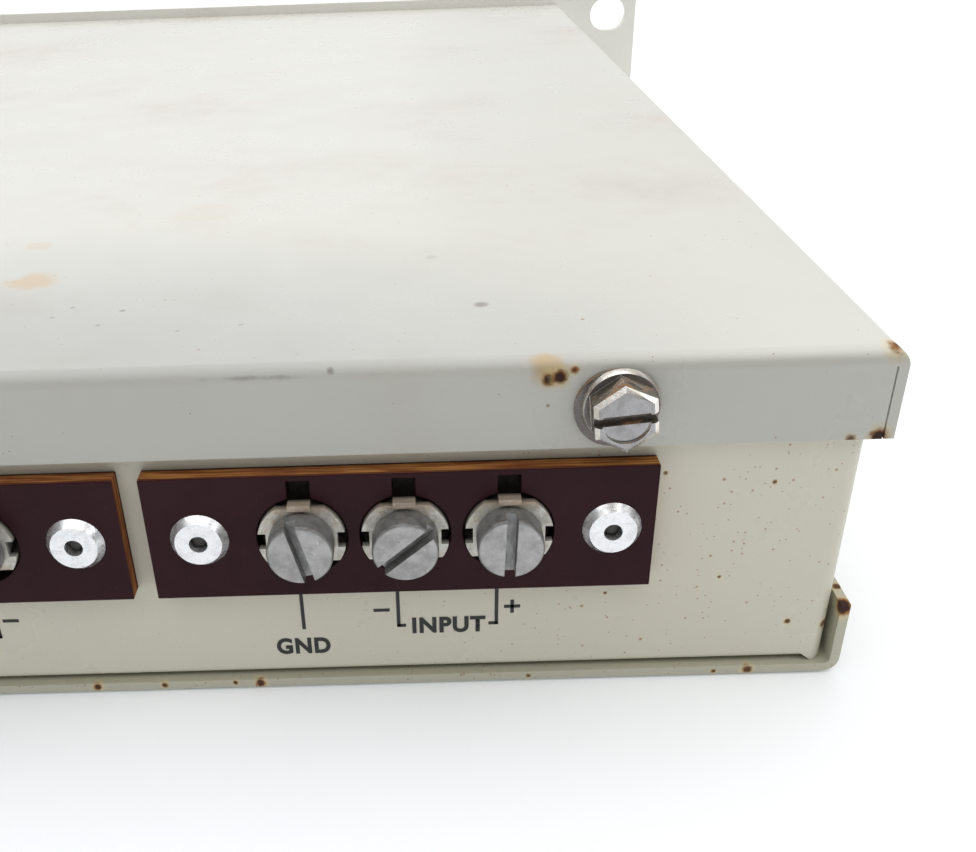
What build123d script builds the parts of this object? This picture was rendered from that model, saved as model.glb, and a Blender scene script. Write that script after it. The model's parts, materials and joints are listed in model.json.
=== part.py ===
from build123d import *
from math import cos, radians, sin
import os

# One-rack-unit audio effects processor. The front panel faces -Y, the rear wall +Y, and +Z is up.
# The origin is on the underside of the bottom cover, at the middle of the case.

# Rack front panel
panel_width = 482.6
panel_height = 43.66
panel_thickness = 3.0
panel_lift = 0.2
panel_corner = 0.8
panel_bevel = 0.4
rack_hole_spacing_x = 465.1
rack_hole_spacing_z = 31.75
rack_slot_length = 11.3
rack_slot_height = 9.5

# Case
case_width = 430.1
case_depth = 280.0
case_height = 41.2
wall_sheet = 1.15
lid_sheet = 1.05
cover_sheet = 1.1
bend_radius = 1.8
lid_flange = 9.9
lid_side_gap = 0.85
lid_rear_gap = 0.2
lid_slit = 0.2
cover_flange = 9.6
cover_side_gap = 0.6
cover_rear_overhang = 0.7
wall_lift = 0.55
wall_foot_gap = 0.05
wall_foot_length = 2.1
wall_foot_step = 0.6
wall_edge_round = 0.8
wall_flange = 12.0
subpanel_tab = 12.0
sheet_gap = 0.1

# Screw-terminal boards on the rear wall, measured from the row of holes
terminal_pitch = 11.11
terminal_count = 3
terminal_height = 22.0
board_height = 15.2
board_thickness = 2.3
board_end = 5.1
input_row_inset = 49.0
board_gap = 3.21
input_board_shift = 0.5
terminal_hole = 4.9
keyway_width = 2.45
keyway_top = 6.9
wall_slot_height = 13.2
lug_sheet = 1.0
lug_height = 12.4
lug_width = 9.4
collar_radius = 3.0
collar_length = 0.9
tail_width = 3.0
tail_length = 12.0

# Terminal clamp and screw, 6-32 thread
thread_radius = 1.75
thread_clearance = 0.05
clamp_radius = 4.76
clamp_sheet = 0.9
clamp_dish = 1.1
clamp_dish_radius = 3.0
clamp_boss_radius = 3.9
clamp_notch_depth = 0.9
clamp_notch_height = 1.85
clamp_top = 3.95
clamp_bottom = 2.65
clamp_tab_width = 2.4
clamp_tab_top = 4.6
clamp_tab_proud = 0.5
screw_head_radius = 3.55
screw_head_height = 3.0
screw_head_edge = 0.4
screw_length = 8.2
screw_slot_width = 1.2
screw_slot_depth = 1.6
float_gap = 0.1
input_slot_angles = (104.0, 40.0, 88.0)
output_slot_angles = (60.0, 120.0, 82.0)
input_terminals = ("ground", "minus", "plus")
output_terminals = ("ground", "plus", "minus")

# Blind rivets and sheet screws
rivet_radius = 1.6
rivet_head_radius = 3.175
rivet_head_height = 0.9
rivet_bore = 1.0
rivet_tail_radius = 2.3
rivet_tail_length = 1.8
rivet_head_taper = 35
hex_flats = 6.35
hex_height = 2.9
hex_turn = 96.0
hex_edge = 0.45
hex_dimple_radius = 2.45
hex_dimple_depth = 0.35
hex_washer_radius = 4.1
hex_washer_height = 0.7
hex_washer_taper = 20
hex_slot_width = 1.0
hex_slot_depth = 1.2
washer_radius = 4.2
washer_bore = 2.4
washer_sheet = 0.6
washer_shift_x = 0.5
washer_shift_z = 0.35
sheet_screw_radius = 1.7
sheet_screw_length = 8.0
hole_clearance = 0.05
lid_screw_drop = 4.9
lid_screw_inset = 26.75
side_screw_row = 90.0
cover_screw_height = 5.4
lid_slot_angle = 5
cover_slot_angles = (70, 10)
case_rivet_heights = (16.0, 26.0)

# Machine screws and nuts, M3
m3_radius = 1.5
m3_head_radius = 2.8
m3_head_height = 1.7
m3_head_taper = 15
m3_length = 9.0
m3_cross_length = 3.2
m3_cross_width = 0.7
m3_cross_depth = 1.1
m3_nut_flats = 5.5
m3_nut_height = 2.4

# Mains inlet and fuse
inlet_row_inset = 37.05
inlet_height = 18.9
inlet_body_width = 27.0
inlet_body_height = 19.6
inlet_body_depth = 17.0
inlet_flange_width = 50.0
inlet_flange_height = 24.0
inlet_flange_thickness = 3.0
inlet_flange_corner = 3.0
inlet_recess_width = 24.0
inlet_recess_height = 16.4
inlet_recess_depth = 16.0
inlet_corner = 4.0
inlet_screw_spacing = 40.0
pin_width = 2.0
pin_height = 4.0
pin_length = 10.0
pin_spacing = 7.0
pin_rise = 2.0
pin_tail = 8.0
fuse_row_gap = 46.0
fuse_height = 20.0
fuse_barrel_radius = 6.2
fuse_barrel_length = 34.0
fuse_flange_radius = 8.5
fuse_flange_height = 2.0
fuse_bore = 3.6
fuse_radius = 2.6
fuse_length = 20.0
fuse_cap_radius = 6.6
fuse_cap_height = 7.0
fuse_cap_bevel = 0.3
fuse_cap_flutes = 24
fuse_cap_flute_radius = 0.35
fuse_slot_length = 8.0
fuse_slot_width = 1.4
fuse_slot_depth = 1.5
fuse_plug_radius = 3.3
fuse_plug_length = 6.0
fuse_nut_radius = 9.0
fuse_nut_height = 2.5

# Front controls
knob_names = ("input", "effect", "output")
knob_rows = (-150.0, -85.0, -20.0)
control_height = 22.0
knob_radius = 9.5
knob_length = 15.0
knob_gap = 0.6
knob_taper = 1.2
knob_flutes = 28
knob_flute_radius = 0.45
knob_bevel = 0.25
knob_cap_radius = 6.6
knob_cap_sheet = 0.6
shaft_radius = 3.0
shaft_clearance = 0.05
shaft_in_knob = 11.0
bushing_wall = 0.5
bushing_nose = 3.0
pot_radius = 8.25
pot_depth = 9.0
pot_floor = 1.2
pot_nut_flats = 10.0
pot_nut_height = 2.0
knob_recess_clearance = 0.7
button_row = 60.0
button_width = 12.0
button_height = 7.0
button_proud = 6.0
button_travel = 3.0
button_clearance = 0.35
button_round = 0.8
stem_radius = 1.6
switch_width = 16.0
switch_height = 10.0
switch_depth = 16.0
switch_gap = 1.0
switch_bore_clearance = 0.2
switch_bore_floor = 1.0
switch_leg = 1.0
switch_leg_inset = 0.3
stem_reach = 2.0
rocker_row_inset = 50.05
rocker_width = 11.2
rocker_half_height = 8.2
rocker_edge = 5.0
rocker_middle = 3.6
rocker_root = 3.0
rocker_tilt = 10.0
rocker_pivot_depth = 1.5
rocker_clearance = 0.4
rocker_swing = 0.8
rocker_pin_radius = 1.0
rocker_keel = 3.0
rocker_shoulder = 0.85
housing_wall = 1.0
housing_bezel = 1.6
housing_bezel_height = 1.5
housing_corner = 1.2
housing_depth = 20.0
housing_floor = 6.0
effect_led_rows = (30.0, 90.0)
power_led_gap = 30.0
led_radius = 2.4
bezel_radius = 4.2
bezel_height = 1.6
bezel_taper = 12
panel_screw_inset = 10.05
panel_screw_rise = 13.0

# Circuit board and its parts
board_core_gap = 26.5
board_depth = 170.0
board_sheet = 1.6
board_side_gap = 25.05
board_y = -10.0
standoff_height = 6.0
standoff_flats = 5.0
standoff_inset = 8.0
capacitor_radius = 8.0
capacitor_height = 25.0
capacitor_inset = 25.0
capacitor_spacing = 25.0
capacitor_round = 1.0
chip_length = 19.3
chip_width = 6.4
chip_height = 3.6
chip_shift = 2.5
chip_end_gap = 3.75
chip_spacing_y = 32.0
resistor_radius = 1.2
resistor_length = 6.6
resistor_count = 14
resistor_spacing = 8.0
resistor_end_gap = 41.5

# Transformer
core_width = 57.0
core_depth = 48.0
core_stack = 20.0
core_leg = 9.5
core_lift = 8.0
core_x_inset = 50.05
core_y = 20.0
winding_swell = 4.0
winding_gap = 0.2
winding_round = 2.0
core_bolt_radius = 2.0
core_bolt_inset = 4.5
core_nut_flats = 7.0
core_nut_height = 3.2
core_bolt_end = 1.0
spacer_wall = 1.5
cone_radius = 4.0
cone_height = 0.9

# Places worked out from the sizes above
half_case = case_width / 2
rear_face = case_depth / 2
front_face = -case_depth / 2
inner_half = half_case - wall_sheet
wall_foot = cover_sheet + wall_foot_gap
wall_edge = cover_sheet + wall_lift
wall_top = case_height - bend_radius - sheet_gap
lid_half = half_case + lid_side_gap + lid_sheet
lid_rear = rear_face + lid_rear_gap + lid_sheet
cover_half = half_case + cover_side_gap + cover_sheet
cover_rear = rear_face + cover_rear_overhang
panel_middle = panel_lift + panel_height / 2
subpanel_back = front_face + wall_sheet
panel_front = front_face - panel_thickness
board_front = rear_face + board_thickness
lug_front = rear_face
collar_front = lug_front + collar_length
clamp_back = collar_front + float_gap
clamp_floor = clamp_back + clamp_sheet
clamp_front = clamp_floor + clamp_dish
head_back = clamp_front + float_gap
board_row_length = terminal_pitch * (terminal_count + 1)
input_row = half_case - input_row_inset
output_row = input_row - board_row_length - 2 * board_end - board_gap
lid_screw_height = case_height - lid_screw_drop
lid_screw_row = half_case - lid_screw_inset
inlet_row = inlet_row_inset - half_case
fuse_row = inlet_row + fuse_row_gap
bushing_radius = shaft_radius + bushing_wall
rocker_row = half_case - rocker_row_inset
led_rows = (*effect_led_rows, rocker_row - power_led_gap)
panel_screw_row = half_case - panel_screw_inset
core_x = half_case - core_x_inset
board_left = board_side_gap - half_case
board_width = core_x - core_width / 2 - board_core_gap - board_left
board_x = board_left + board_width / 2
capacitor_x = board_left + board_width - capacitor_inset
chip_middle = (board_left + capacitor_x) / 2 + chip_shift
resistor_column = (capacitor_x - board_left) / 2 - resistor_end_gap
chip_spacing_x = (resistor_column - resistor_length - chip_length / 2 - chip_end_gap) / 2
board_top = cover_sheet + standoff_height + board_sheet
pot_face_gap = bushing_nose + knob_recess_clearance


def rear_plane(y):
    """A plane across the case, seen from behind: right is -X, up is +Z, and out is +Y."""
    return Plane(origin=(0, y, 0), x_dir=(-1, 0, 0), z_dir=(0, 1, 0))


def front_plane(y):
    """A plane across the case, seen from the front: right is +X, up is +Z, and out is -Y."""
    return Plane(origin=(0, y, 0), x_dir=(1, 0, 0), z_dir=(0, -1, 0))


def side_plane(x):
    """A plane along the case, seen from its +X side: right is +Y, up is +Z, and out is +X."""
    return Plane(origin=(x, 0, 0), x_dir=(0, 1, 0), z_dir=(1, 0, 0))


def left_plane(x):
    """A plane along the case, seen from its -X side: right is -Y, up is +Z, and out is -X."""
    return Plane(origin=(x, 0, 0), x_dir=(0, -1, 0), z_dir=(-1, 0, 0))


def hexagon(flats):
    """Radius over the corners of a hexagon with this width across its flats."""
    return flats / 2 / cos(radians(30))


def keep(builder, name):
    """Labels a finished piece and writes its STEP file."""
    builder.part.label = name
    export_step(builder.part, f"parts/{name}.step")


def terminal_spots(row):
    """Places of a board's terminals on the rear plane."""
    return [(row + (i - 1) * terminal_pitch, terminal_height) for i in range(terminal_count)]


def rivet_spots(row):
    """Places of a board's two rivets on the rear plane."""
    reach = board_row_length / 2
    return [(row - reach, terminal_height), (row + reach, terminal_height)]


os.makedirs("parts", exist_ok=True)

all_rivet_spots = rivet_spots(input_row) + rivet_spots(output_row)
all_terminal_spots = terminal_spots(input_row) + terminal_spots(output_row)
lid_screw_spots = [(i * lid_screw_row, lid_screw_height) for i in (-1, 0, 1)]
cover_side_spots = [(-side_screw_row, cover_screw_height), (side_screw_row, cover_screw_height)]
case_rivet_y = subpanel_back + subpanel_tab / 2
right_rivet_spots = [(case_rivet_y, z) for z in case_rivet_heights]
left_rivet_spots = [(-case_rivet_y, z) for z in case_rivet_heights]
inlet_spot = (inlet_row, inlet_height)
inlet_screw_spots = [
    (inlet_row - inlet_screw_spacing / 2, inlet_height),
    (inlet_row + inlet_screw_spacing / 2, inlet_height),
]
pin_spots = [(inlet_row + i * pin_spacing, inlet_height + (1 - abs(i)) * pin_rise) for i in (-1, 0, 1)]
fuse_spot = (fuse_row, fuse_height)
knob_spots = [(x, control_height) for x in knob_rows]
led_spots = [(x, control_height) for x in led_rows]
button_spot = (button_row, control_height)
rocker_spot = (rocker_row, control_height)
panel_screw_spots = [
    (side * panel_screw_row, panel_middle + rise)
    for side in (-1, 1)
    for rise in (-panel_screw_rise, panel_screw_rise)
]
standoff_spots = [
    (board_x + i * (board_width / 2 - standoff_inset), board_y + j * (board_depth / 2 - standoff_inset))
    for i in (-1, 0, 1)
    for j in (-1, 1)
]
core_bolt_spots = [
    (core_x + i * (core_width / 2 - core_bolt_inset), core_y + j * (core_depth / 2 - core_bolt_inset))
    for i in (-1, 1)
    for j in (-1, 1)
]
housing_half_height = rocker_half_height + rocker_clearance + rocker_swing
housing_half_width = rocker_width / 2 + rocker_clearance

# One sheet bent round the rear and both sides, with its rear lower edge turned inwards
with BuildPart() as chassis_wrap:
    with BuildSketch(Plane.XY.offset(wall_foot)) as wrap_outline:
        Rectangle(case_width, case_depth)
        fillet(wrap_outline.vertices().group_by(Axis.Y)[-1], bend_radius)
    extrude(amount=wall_top - wall_foot)
    with BuildSketch(Plane.XY.offset(wall_foot)) as wrap_inside:
        with Locations((0, -wall_sheet)):
            Rectangle(2 * inner_half, case_depth)
        fillet(wrap_inside.vertices().group_by(Axis.Y)[-1], bend_radius - wall_sheet)
    extrude(amount=wall_top - wall_foot, mode=Mode.SUBTRACT)
    with BuildSketch(rear_plane(rear_face)):
        step = half_case - wall_foot_length
        foot = step + wall_foot_step
        with BuildLine():
            Polyline(
                (-foot, wall_foot), (-step, wall_edge), (step, wall_edge), (foot, wall_foot), close=True
            )
        make_face()
    extrude(amount=-wall_sheet, mode=Mode.SUBTRACT)
    with BuildSketch(Plane.XY.offset(wall_edge)):
        with Locations((0, rear_face - wall_flange / 2)):
            Rectangle(2 * step, wall_flange)
    extrude(amount=wall_sheet)
    lower_edges = chassis_wrap.edges().filter_by(Axis.X).filter_by_position(Axis.Z, wall_edge, wall_edge)
    fillet(lower_edges.sort_by(Axis.Y)[-1], min(wall_edge_round, wall_sheet * 0.7))
    for row in (input_row, output_row):
        with BuildSketch(rear_plane(rear_face)):
            with Locations((row, terminal_height)):
                Rectangle(terminal_pitch * terminal_count, wall_slot_height)
        extrude(amount=-wall_sheet, mode=Mode.SUBTRACT)
    with BuildSketch(rear_plane(rear_face)):
        with Locations(all_rivet_spots):
            Circle(rivet_radius + hole_clearance)
        with Locations(lid_screw_spots):
            Circle(sheet_screw_radius + hole_clearance)
        with Locations(fuse_spot):
            Circle(fuse_barrel_radius + hole_clearance)
        with Locations(inlet_screw_spots):
            Circle(m3_radius + hole_clearance)
        with Locations(inlet_spot):
            Rectangle(inlet_body_width + 2 * hole_clearance, inlet_body_height + 2 * hole_clearance)
    extrude(amount=-wall_sheet, mode=Mode.SUBTRACT)
    with BuildSketch(side_plane(half_case)):
        with Locations(cover_side_spots):
            Circle(sheet_screw_radius + hole_clearance)
        with Locations(right_rivet_spots):
            Circle(rivet_radius + hole_clearance)
    extrude(amount=-case_width, mode=Mode.SUBTRACT)
keep(chassis_wrap, "chassis_wrap")

# Inner front wall with its end tabs riveted to the case's sides
with BuildPart() as front_subpanel:
    with BuildSketch(front_plane(front_face)):
        with Locations((0, (wall_top + wall_foot) / 2)):
            Rectangle(2 * inner_half - 2 * sheet_gap, wall_top - wall_foot - 2 * sheet_gap)
    extrude(amount=-subpanel_tab)
    with BuildSketch(front_plane(subpanel_back)):
        with Locations((0, (wall_top + wall_foot) / 2)):
            Rectangle(2 * inner_half - 2 * sheet_gap - 2 * wall_sheet, case_height)
    extrude(amount=-subpanel_tab, mode=Mode.SUBTRACT)
    with BuildSketch(front_plane(front_face)):
        with Locations(knob_spots):
            Circle(bushing_radius + hole_clearance)
        with Locations(led_spots):
            Circle(led_radius + hole_clearance)
        with Locations(panel_screw_spots):
            Circle(m3_radius + hole_clearance)
        with Locations(button_spot):
            Rectangle(button_width + 2 * button_clearance, button_height + 2 * button_clearance)
        with Locations(rocker_spot):
            Rectangle(
                2 * (housing_half_width + housing_wall + hole_clearance),
                2 * (housing_half_height + housing_wall + hole_clearance),
            )
    extrude(amount=-wall_sheet, mode=Mode.SUBTRACT)
    with BuildSketch(side_plane(inner_half)):
        with Locations(right_rivet_spots):
            Circle(rivet_radius + hole_clearance)
    extrude(amount=-2 * inner_half, mode=Mode.SUBTRACT)
keep(front_subpanel, "front_subpanel")

# 19 inch front panel with an oblong hole near each corner
with BuildPart() as front_panel:
    with BuildSketch(front_plane(front_face)):
        with Locations((0, panel_middle)):
            RectangleRounded(panel_width, panel_height, panel_corner)
        with Locations((0, panel_middle)):
            with GridLocations(rack_hole_spacing_x, rack_hole_spacing_z, 2, 2):
                SlotOverall(rack_slot_length, rack_slot_height, mode=Mode.SUBTRACT)
        with Locations(knob_spots):
            Circle(bushing_radius + hole_clearance, mode=Mode.SUBTRACT)
        with Locations(led_spots):
            Circle(led_radius + hole_clearance, mode=Mode.SUBTRACT)
        with Locations(panel_screw_spots):
            Circle(m3_radius + hole_clearance, mode=Mode.SUBTRACT)
        with Locations(button_spot):
            Rectangle(
                button_width + 2 * button_clearance,
                button_height + 2 * button_clearance,
                mode=Mode.SUBTRACT,
            )
        with Locations(rocker_spot):
            Rectangle(
                2 * (housing_half_width + housing_wall + hole_clearance),
                2 * (housing_half_height + housing_wall + hole_clearance),
                mode=Mode.SUBTRACT,
            )
    extrude(amount=panel_thickness)
    chamfer(front_panel.faces().sort_by(Axis.Y)[0].outer_wire().edges(), panel_bevel)
keep(front_panel, "front_panel")

# Space inside the lid, open at its front edge
with BuildPart() as lid_inside:
    with BuildSketch(Plane.XY):
        with Locations((0, (lid_rear + front_face) / 2 - lid_sheet)):
            Rectangle(2 * (lid_half - lid_sheet), lid_rear - front_face)
    extrude(amount=case_height - lid_sheet)
    inner_edges = lid_inside.faces().sort_by(Axis.Z)[-1].edges()
    fillet(
        inner_edges.filter_by(Axis.Y) + inner_edges.sort_by(Axis.Y)[-1:],
        bend_radius - lid_sheet,
    )

# Lid: a pan with side and rear flanges outside the case, open at its front edge
with BuildPart() as lid:
    with BuildSketch(Plane.XY.offset(case_height - lid_flange)):
        with Locations((0, (lid_rear + front_face) / 2)):
            Rectangle(2 * lid_half, lid_rear - front_face)
    extrude(amount=lid_flange)
    top_edges = lid.faces().sort_by(Axis.Z)[-1].edges()
    fillet(top_edges.filter_by(Axis.Y) + top_edges.sort_by(Axis.Y)[-1:], bend_radius)
    add(lid_inside.part, mode=Mode.SUBTRACT)
    with BuildSketch(rear_plane(lid_rear)):
        slit_middle = lid_half - lid_sheet - lid_slit / 2
        with Locations((-slit_middle, 0), (slit_middle, 0)):
            Rectangle(lid_slit, 2 * (case_height - bend_radius))
    extrude(amount=-lid_sheet - lid_rear_gap, mode=Mode.SUBTRACT)
    with BuildSketch(rear_plane(lid_rear)):
        with Locations(lid_screw_spots):
            Circle(sheet_screw_radius + hole_clearance)
    extrude(amount=-2 * lid_sheet, mode=Mode.SUBTRACT)
keep(lid, "lid")

# Bottom cover: a plate with its sides turned up outside the case
with BuildPart() as bottom_cover:
    with BuildSketch(rear_plane(cover_rear)) as cover_profile:
        with Locations((0, cover_flange / 2)):
            Rectangle(2 * cover_half, cover_flange)
        fillet(cover_profile.vertices().group_by(Axis.Y)[0], bend_radius)
    extrude(amount=front_face - cover_rear)
    with BuildSketch(rear_plane(cover_rear)) as cover_inside:
        with Locations((0, cover_sheet + case_height / 2)):
            Rectangle(2 * (cover_half - cover_sheet), case_height)
        fillet(cover_inside.vertices().group_by(Axis.Y)[0], bend_radius - cover_sheet)
    extrude(amount=front_face - cover_rear, mode=Mode.SUBTRACT)
    with BuildSketch(side_plane(cover_half)):
        with Locations(cover_side_spots):
            Circle(sheet_screw_radius + hole_clearance)
    extrude(amount=-2 * cover_half, mode=Mode.SUBTRACT)
    with BuildSketch(Plane.XY):
        with Locations(standoff_spots):
            Circle(m3_radius + hole_clearance)
        with Locations(core_bolt_spots):
            Circle(core_bolt_radius + hole_clearance)
    extrude(amount=cover_sheet, mode=Mode.SUBTRACT)
    for spot in standoff_spots:
        with Locations((spot[0], spot[1], cone_height / 2)):
            Cone(m3_head_radius, m3_radius, cone_height, mode=Mode.SUBTRACT)
    for spot in core_bolt_spots:
        with Locations((spot[0], spot[1], cone_height / 2)):
            Cone(cone_radius, core_bolt_radius, cone_height, mode=Mode.SUBTRACT)
keep(bottom_cover, "bottom_cover")


def hex_washer_screws(plane, spots, slot_angle):
    """Slotted, indented hex washer-head sheet screws seated on a plane."""
    with BuildPart() as screws:
        with BuildSketch(plane):
            with Locations(spots):
                RegularPolygon(hexagon(hex_flats), 6, rotation=hex_turn)
        extrude(amount=hex_washer_height + hex_height)
        chamfer(screws.faces().group_by(Axis(plane.origin, plane.z_dir))[-1].edges(), hex_edge)
        with BuildSketch(plane.offset(hex_washer_height + hex_height)):
            with Locations(spots):
                Circle(hex_dimple_radius)
        extrude(amount=-hex_dimple_depth, mode=Mode.SUBTRACT)
        with BuildSketch(plane.offset(hex_washer_height + hex_height)):
            with Locations(spots):
                Rectangle(2 * hex_flats, hex_slot_width, rotation=slot_angle)
        extrude(amount=-hex_slot_depth, mode=Mode.SUBTRACT)
        with BuildSketch(plane):
            with Locations(spots):
                Circle(hex_washer_radius)
        extrude(amount=hex_washer_height, taper=hex_washer_taper)
        with BuildSketch(plane):
            with Locations(spots):
                Circle(sheet_screw_radius)
        extrude(amount=-sheet_screw_length)
    return screws.part


def washers(plane, spots):
    """Plain washers lying on a plane, each dropped to one side as far as its bore allows."""
    with BuildPart() as rings:
        with BuildSketch(plane):
            with Locations([(x - washer_shift_x, z - washer_shift_z) for x, z in spots]):
                Circle(washer_radius)
                Circle(washer_bore, mode=Mode.SUBTRACT)
        extrude(amount=washer_sheet)
    return rings.part


with BuildPart() as lid_screws:
    add(hex_washer_screws(rear_plane(lid_rear + washer_sheet), lid_screw_spots, lid_slot_angle))
keep(lid_screws, "lid_screws")

with BuildPart() as lid_washers:
    add(washers(rear_plane(lid_rear), lid_screw_spots))
keep(lid_washers, "lid_washers")

with BuildPart() as cover_screws:
    add(hex_washer_screws(side_plane(cover_half), cover_side_spots, cover_slot_angles[0]))
    add(hex_washer_screws(left_plane(-cover_half), cover_side_spots, cover_slot_angles[1]))
keep(cover_screws, "cover_screws")


def blind_rivets(plane, spots, grip):
    """Hollow dome-head rivets seated on a plane, each holding a stack as thick as the grip."""
    with BuildPart() as rivets:
        with BuildSketch(plane):
            with Locations(spots):
                Circle(rivet_head_radius)
        extrude(amount=rivet_head_height, taper=rivet_head_taper)
        with BuildSketch(plane):
            with Locations(spots):
                Circle(rivet_radius)
        extrude(amount=-grip - rivet_tail_length)
        with BuildSketch(plane.offset(-grip)):
            with Locations(spots):
                Circle(rivet_tail_radius)
        extrude(amount=-rivet_tail_length)
        with BuildSketch(plane.offset(rivet_head_height)):
            with Locations(spots):
                Circle(rivet_bore)
        extrude(amount=-rivet_head_height - grip, mode=Mode.SUBTRACT)
    return rivets.part


with BuildPart() as board_rivets:
    add(blind_rivets(rear_plane(board_front), all_rivet_spots, board_thickness + wall_sheet))
keep(board_rivets, "board_rivets")

with BuildPart() as case_rivets:
    add(blind_rivets(side_plane(half_case), right_rivet_spots, 2 * wall_sheet + sheet_gap))
    add(blind_rivets(left_plane(-half_case), left_rivet_spots, 2 * wall_sheet + sheet_gap))
keep(case_rivets, "case_rivets")


def terminal_board(row, shift):
    """A phenolic board whose round terminal holes each have a keyway above."""
    with BuildPart() as board:
        with BuildSketch(rear_plane(rear_face)):
            with Locations((row - shift, terminal_height)):
                Rectangle(board_row_length + 2 * board_end, board_height)
            with Locations(rivet_spots(row)):
                Circle(rivet_radius + hole_clearance, mode=Mode.SUBTRACT)
            with Locations(terminal_spots(row)):
                Circle(terminal_hole, mode=Mode.SUBTRACT)
                with Locations((0, keyway_top / 2)):
                    Rectangle(keyway_width, keyway_top, mode=Mode.SUBTRACT)
        extrude(amount=board_thickness)
    return board


keep(terminal_board(input_row, input_board_shift), "input_board")
keep(terminal_board(output_row, 0), "output_board")

# Stamped lugs behind the boards, each with a threaded collar and a solder tail
with BuildPart() as terminal_lugs:
    with BuildSketch(rear_plane(lug_front)):
        with Locations(all_terminal_spots):
            Rectangle(lug_width, lug_height)
    extrude(amount=-lug_sheet)
    with BuildSketch(rear_plane(lug_front)):
        with Locations(all_terminal_spots):
            Circle(collar_radius)
    extrude(amount=collar_length)
    with BuildSketch(rear_plane(lug_front - lug_sheet)):
        with Locations([(x, z - lug_height / 2 + lug_sheet / 2) for x, z in all_terminal_spots]):
            Rectangle(tail_width, lug_sheet)
    extrude(amount=-tail_length)
    with BuildSketch(rear_plane(collar_front)):
        with Locations(all_terminal_spots):
            Circle(thread_radius + thread_clearance)
    extrude(amount=-collar_length - lug_sheet, mode=Mode.SUBTRACT)
keep(terminal_lugs, "terminal_lugs")


def terminal_clamp(spot):
    """A dished washer, notched at both sides, cut flat above and below, with a tab turned out at the top."""
    x, z = spot
    with BuildPart() as clamp:
        with BuildSketch(rear_plane(clamp_back)):
            with Locations(spot):
                Circle(clamp_boss_radius)
        extrude(amount=clamp_dish)
        with BuildSketch(rear_plane(clamp_front - clamp_sheet)):
            with Locations(spot):
                Circle(clamp_radius)
        extrude(amount=clamp_sheet)
        with BuildSketch(rear_plane(clamp_front)):
            with Locations(spot):
                Circle(clamp_dish_radius)
        extrude(amount=-clamp_dish, mode=Mode.SUBTRACT)
        with BuildSketch(rear_plane(clamp_back)):
            with Locations(spot):
                Circle(thread_radius + thread_clearance)
                with Locations((-clamp_radius, 0), (clamp_radius, 0)):
                    Rectangle(2 * clamp_notch_depth, clamp_notch_height)
            with Locations((x, z + clamp_top + clamp_radius), (x, z - clamp_bottom - clamp_radius)):
                Rectangle(2 * clamp_radius, 2 * clamp_radius)
        extrude(amount=clamp_sheet + clamp_dish, mode=Mode.SUBTRACT)
        with BuildSketch(rear_plane(clamp_front - clamp_sheet)):
            with Locations((x, z + (clamp_top + clamp_tab_top) / 2)):
                Rectangle(clamp_tab_width, clamp_tab_top - clamp_top)
        extrude(amount=clamp_sheet + clamp_tab_proud)
    return clamp


def terminal_screw(spot, slot_angle):
    """A slotted binding-head screw whose head sits in the clamp's dish."""
    with BuildPart() as screw:
        with BuildSketch(rear_plane(head_back)):
            with Locations(spot):
                Circle(screw_head_radius)
        extrude(amount=screw_head_height)
        fillet(screw.faces().sort_by(Axis.Y)[-1].edges(), screw_head_edge)
        with BuildSketch(rear_plane(head_back + screw_head_height)):
            with Locations(spot):
                Rectangle(4 * screw_head_radius, screw_slot_width, rotation=slot_angle)
        extrude(amount=-screw_slot_depth, mode=Mode.SUBTRACT)
        with BuildSketch(rear_plane(head_back)):
            with Locations(spot):
                Circle(thread_radius)
        extrude(amount=-screw_length)
    return screw


for side, row, names, angles in (
    ("input", input_row, input_terminals, input_slot_angles),
    ("output", output_row, output_terminals, output_slot_angles),
):
    for spot, name, angle in zip(terminal_spots(row), names, angles):
        keep(terminal_clamp(spot), f"{side}_{name}_clamp")
        keep(terminal_screw(spot, angle), f"{side}_{name}_screw")

# Mains inlet: a flanged housing with a recess for the plug
with BuildPart() as inlet_housing:
    with BuildSketch(rear_plane(rear_face)):
        with Locations(inlet_spot):
            RectangleRounded(inlet_flange_width, inlet_flange_height, inlet_flange_corner)
    extrude(amount=inlet_flange_thickness)
    with BuildSketch(rear_plane(rear_face)):
        with Locations(inlet_spot):
            Rectangle(inlet_body_width, inlet_body_height)
    extrude(amount=-inlet_body_depth)
    with BuildSketch(rear_plane(rear_face + inlet_flange_thickness)) as recess:
        with Locations(inlet_spot):
            Rectangle(inlet_recess_width, inlet_recess_height)
        chamfer(recess.vertices().group_by(Axis.Y)[-1], inlet_corner)
    extrude(amount=-inlet_recess_depth, mode=Mode.SUBTRACT)
    with BuildSketch(rear_plane(rear_face + inlet_flange_thickness)):
        with Locations(inlet_screw_spots):
            Circle(m3_radius + hole_clearance)
        with Locations(pin_spots):
            Rectangle(pin_width, pin_height)
    extrude(amount=-inlet_body_depth - inlet_flange_thickness, mode=Mode.SUBTRACT)
keep(inlet_housing, "inlet_housing")

recess_floor = rear_face + inlet_flange_thickness - inlet_recess_depth
with BuildPart() as inlet_pins:
    with BuildSketch(rear_plane(recess_floor + pin_length)):
        with Locations(pin_spots):
            Rectangle(pin_width, pin_height)
    extrude(amount=-pin_length - pin_tail)
keep(inlet_pins, "inlet_pins")


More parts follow.
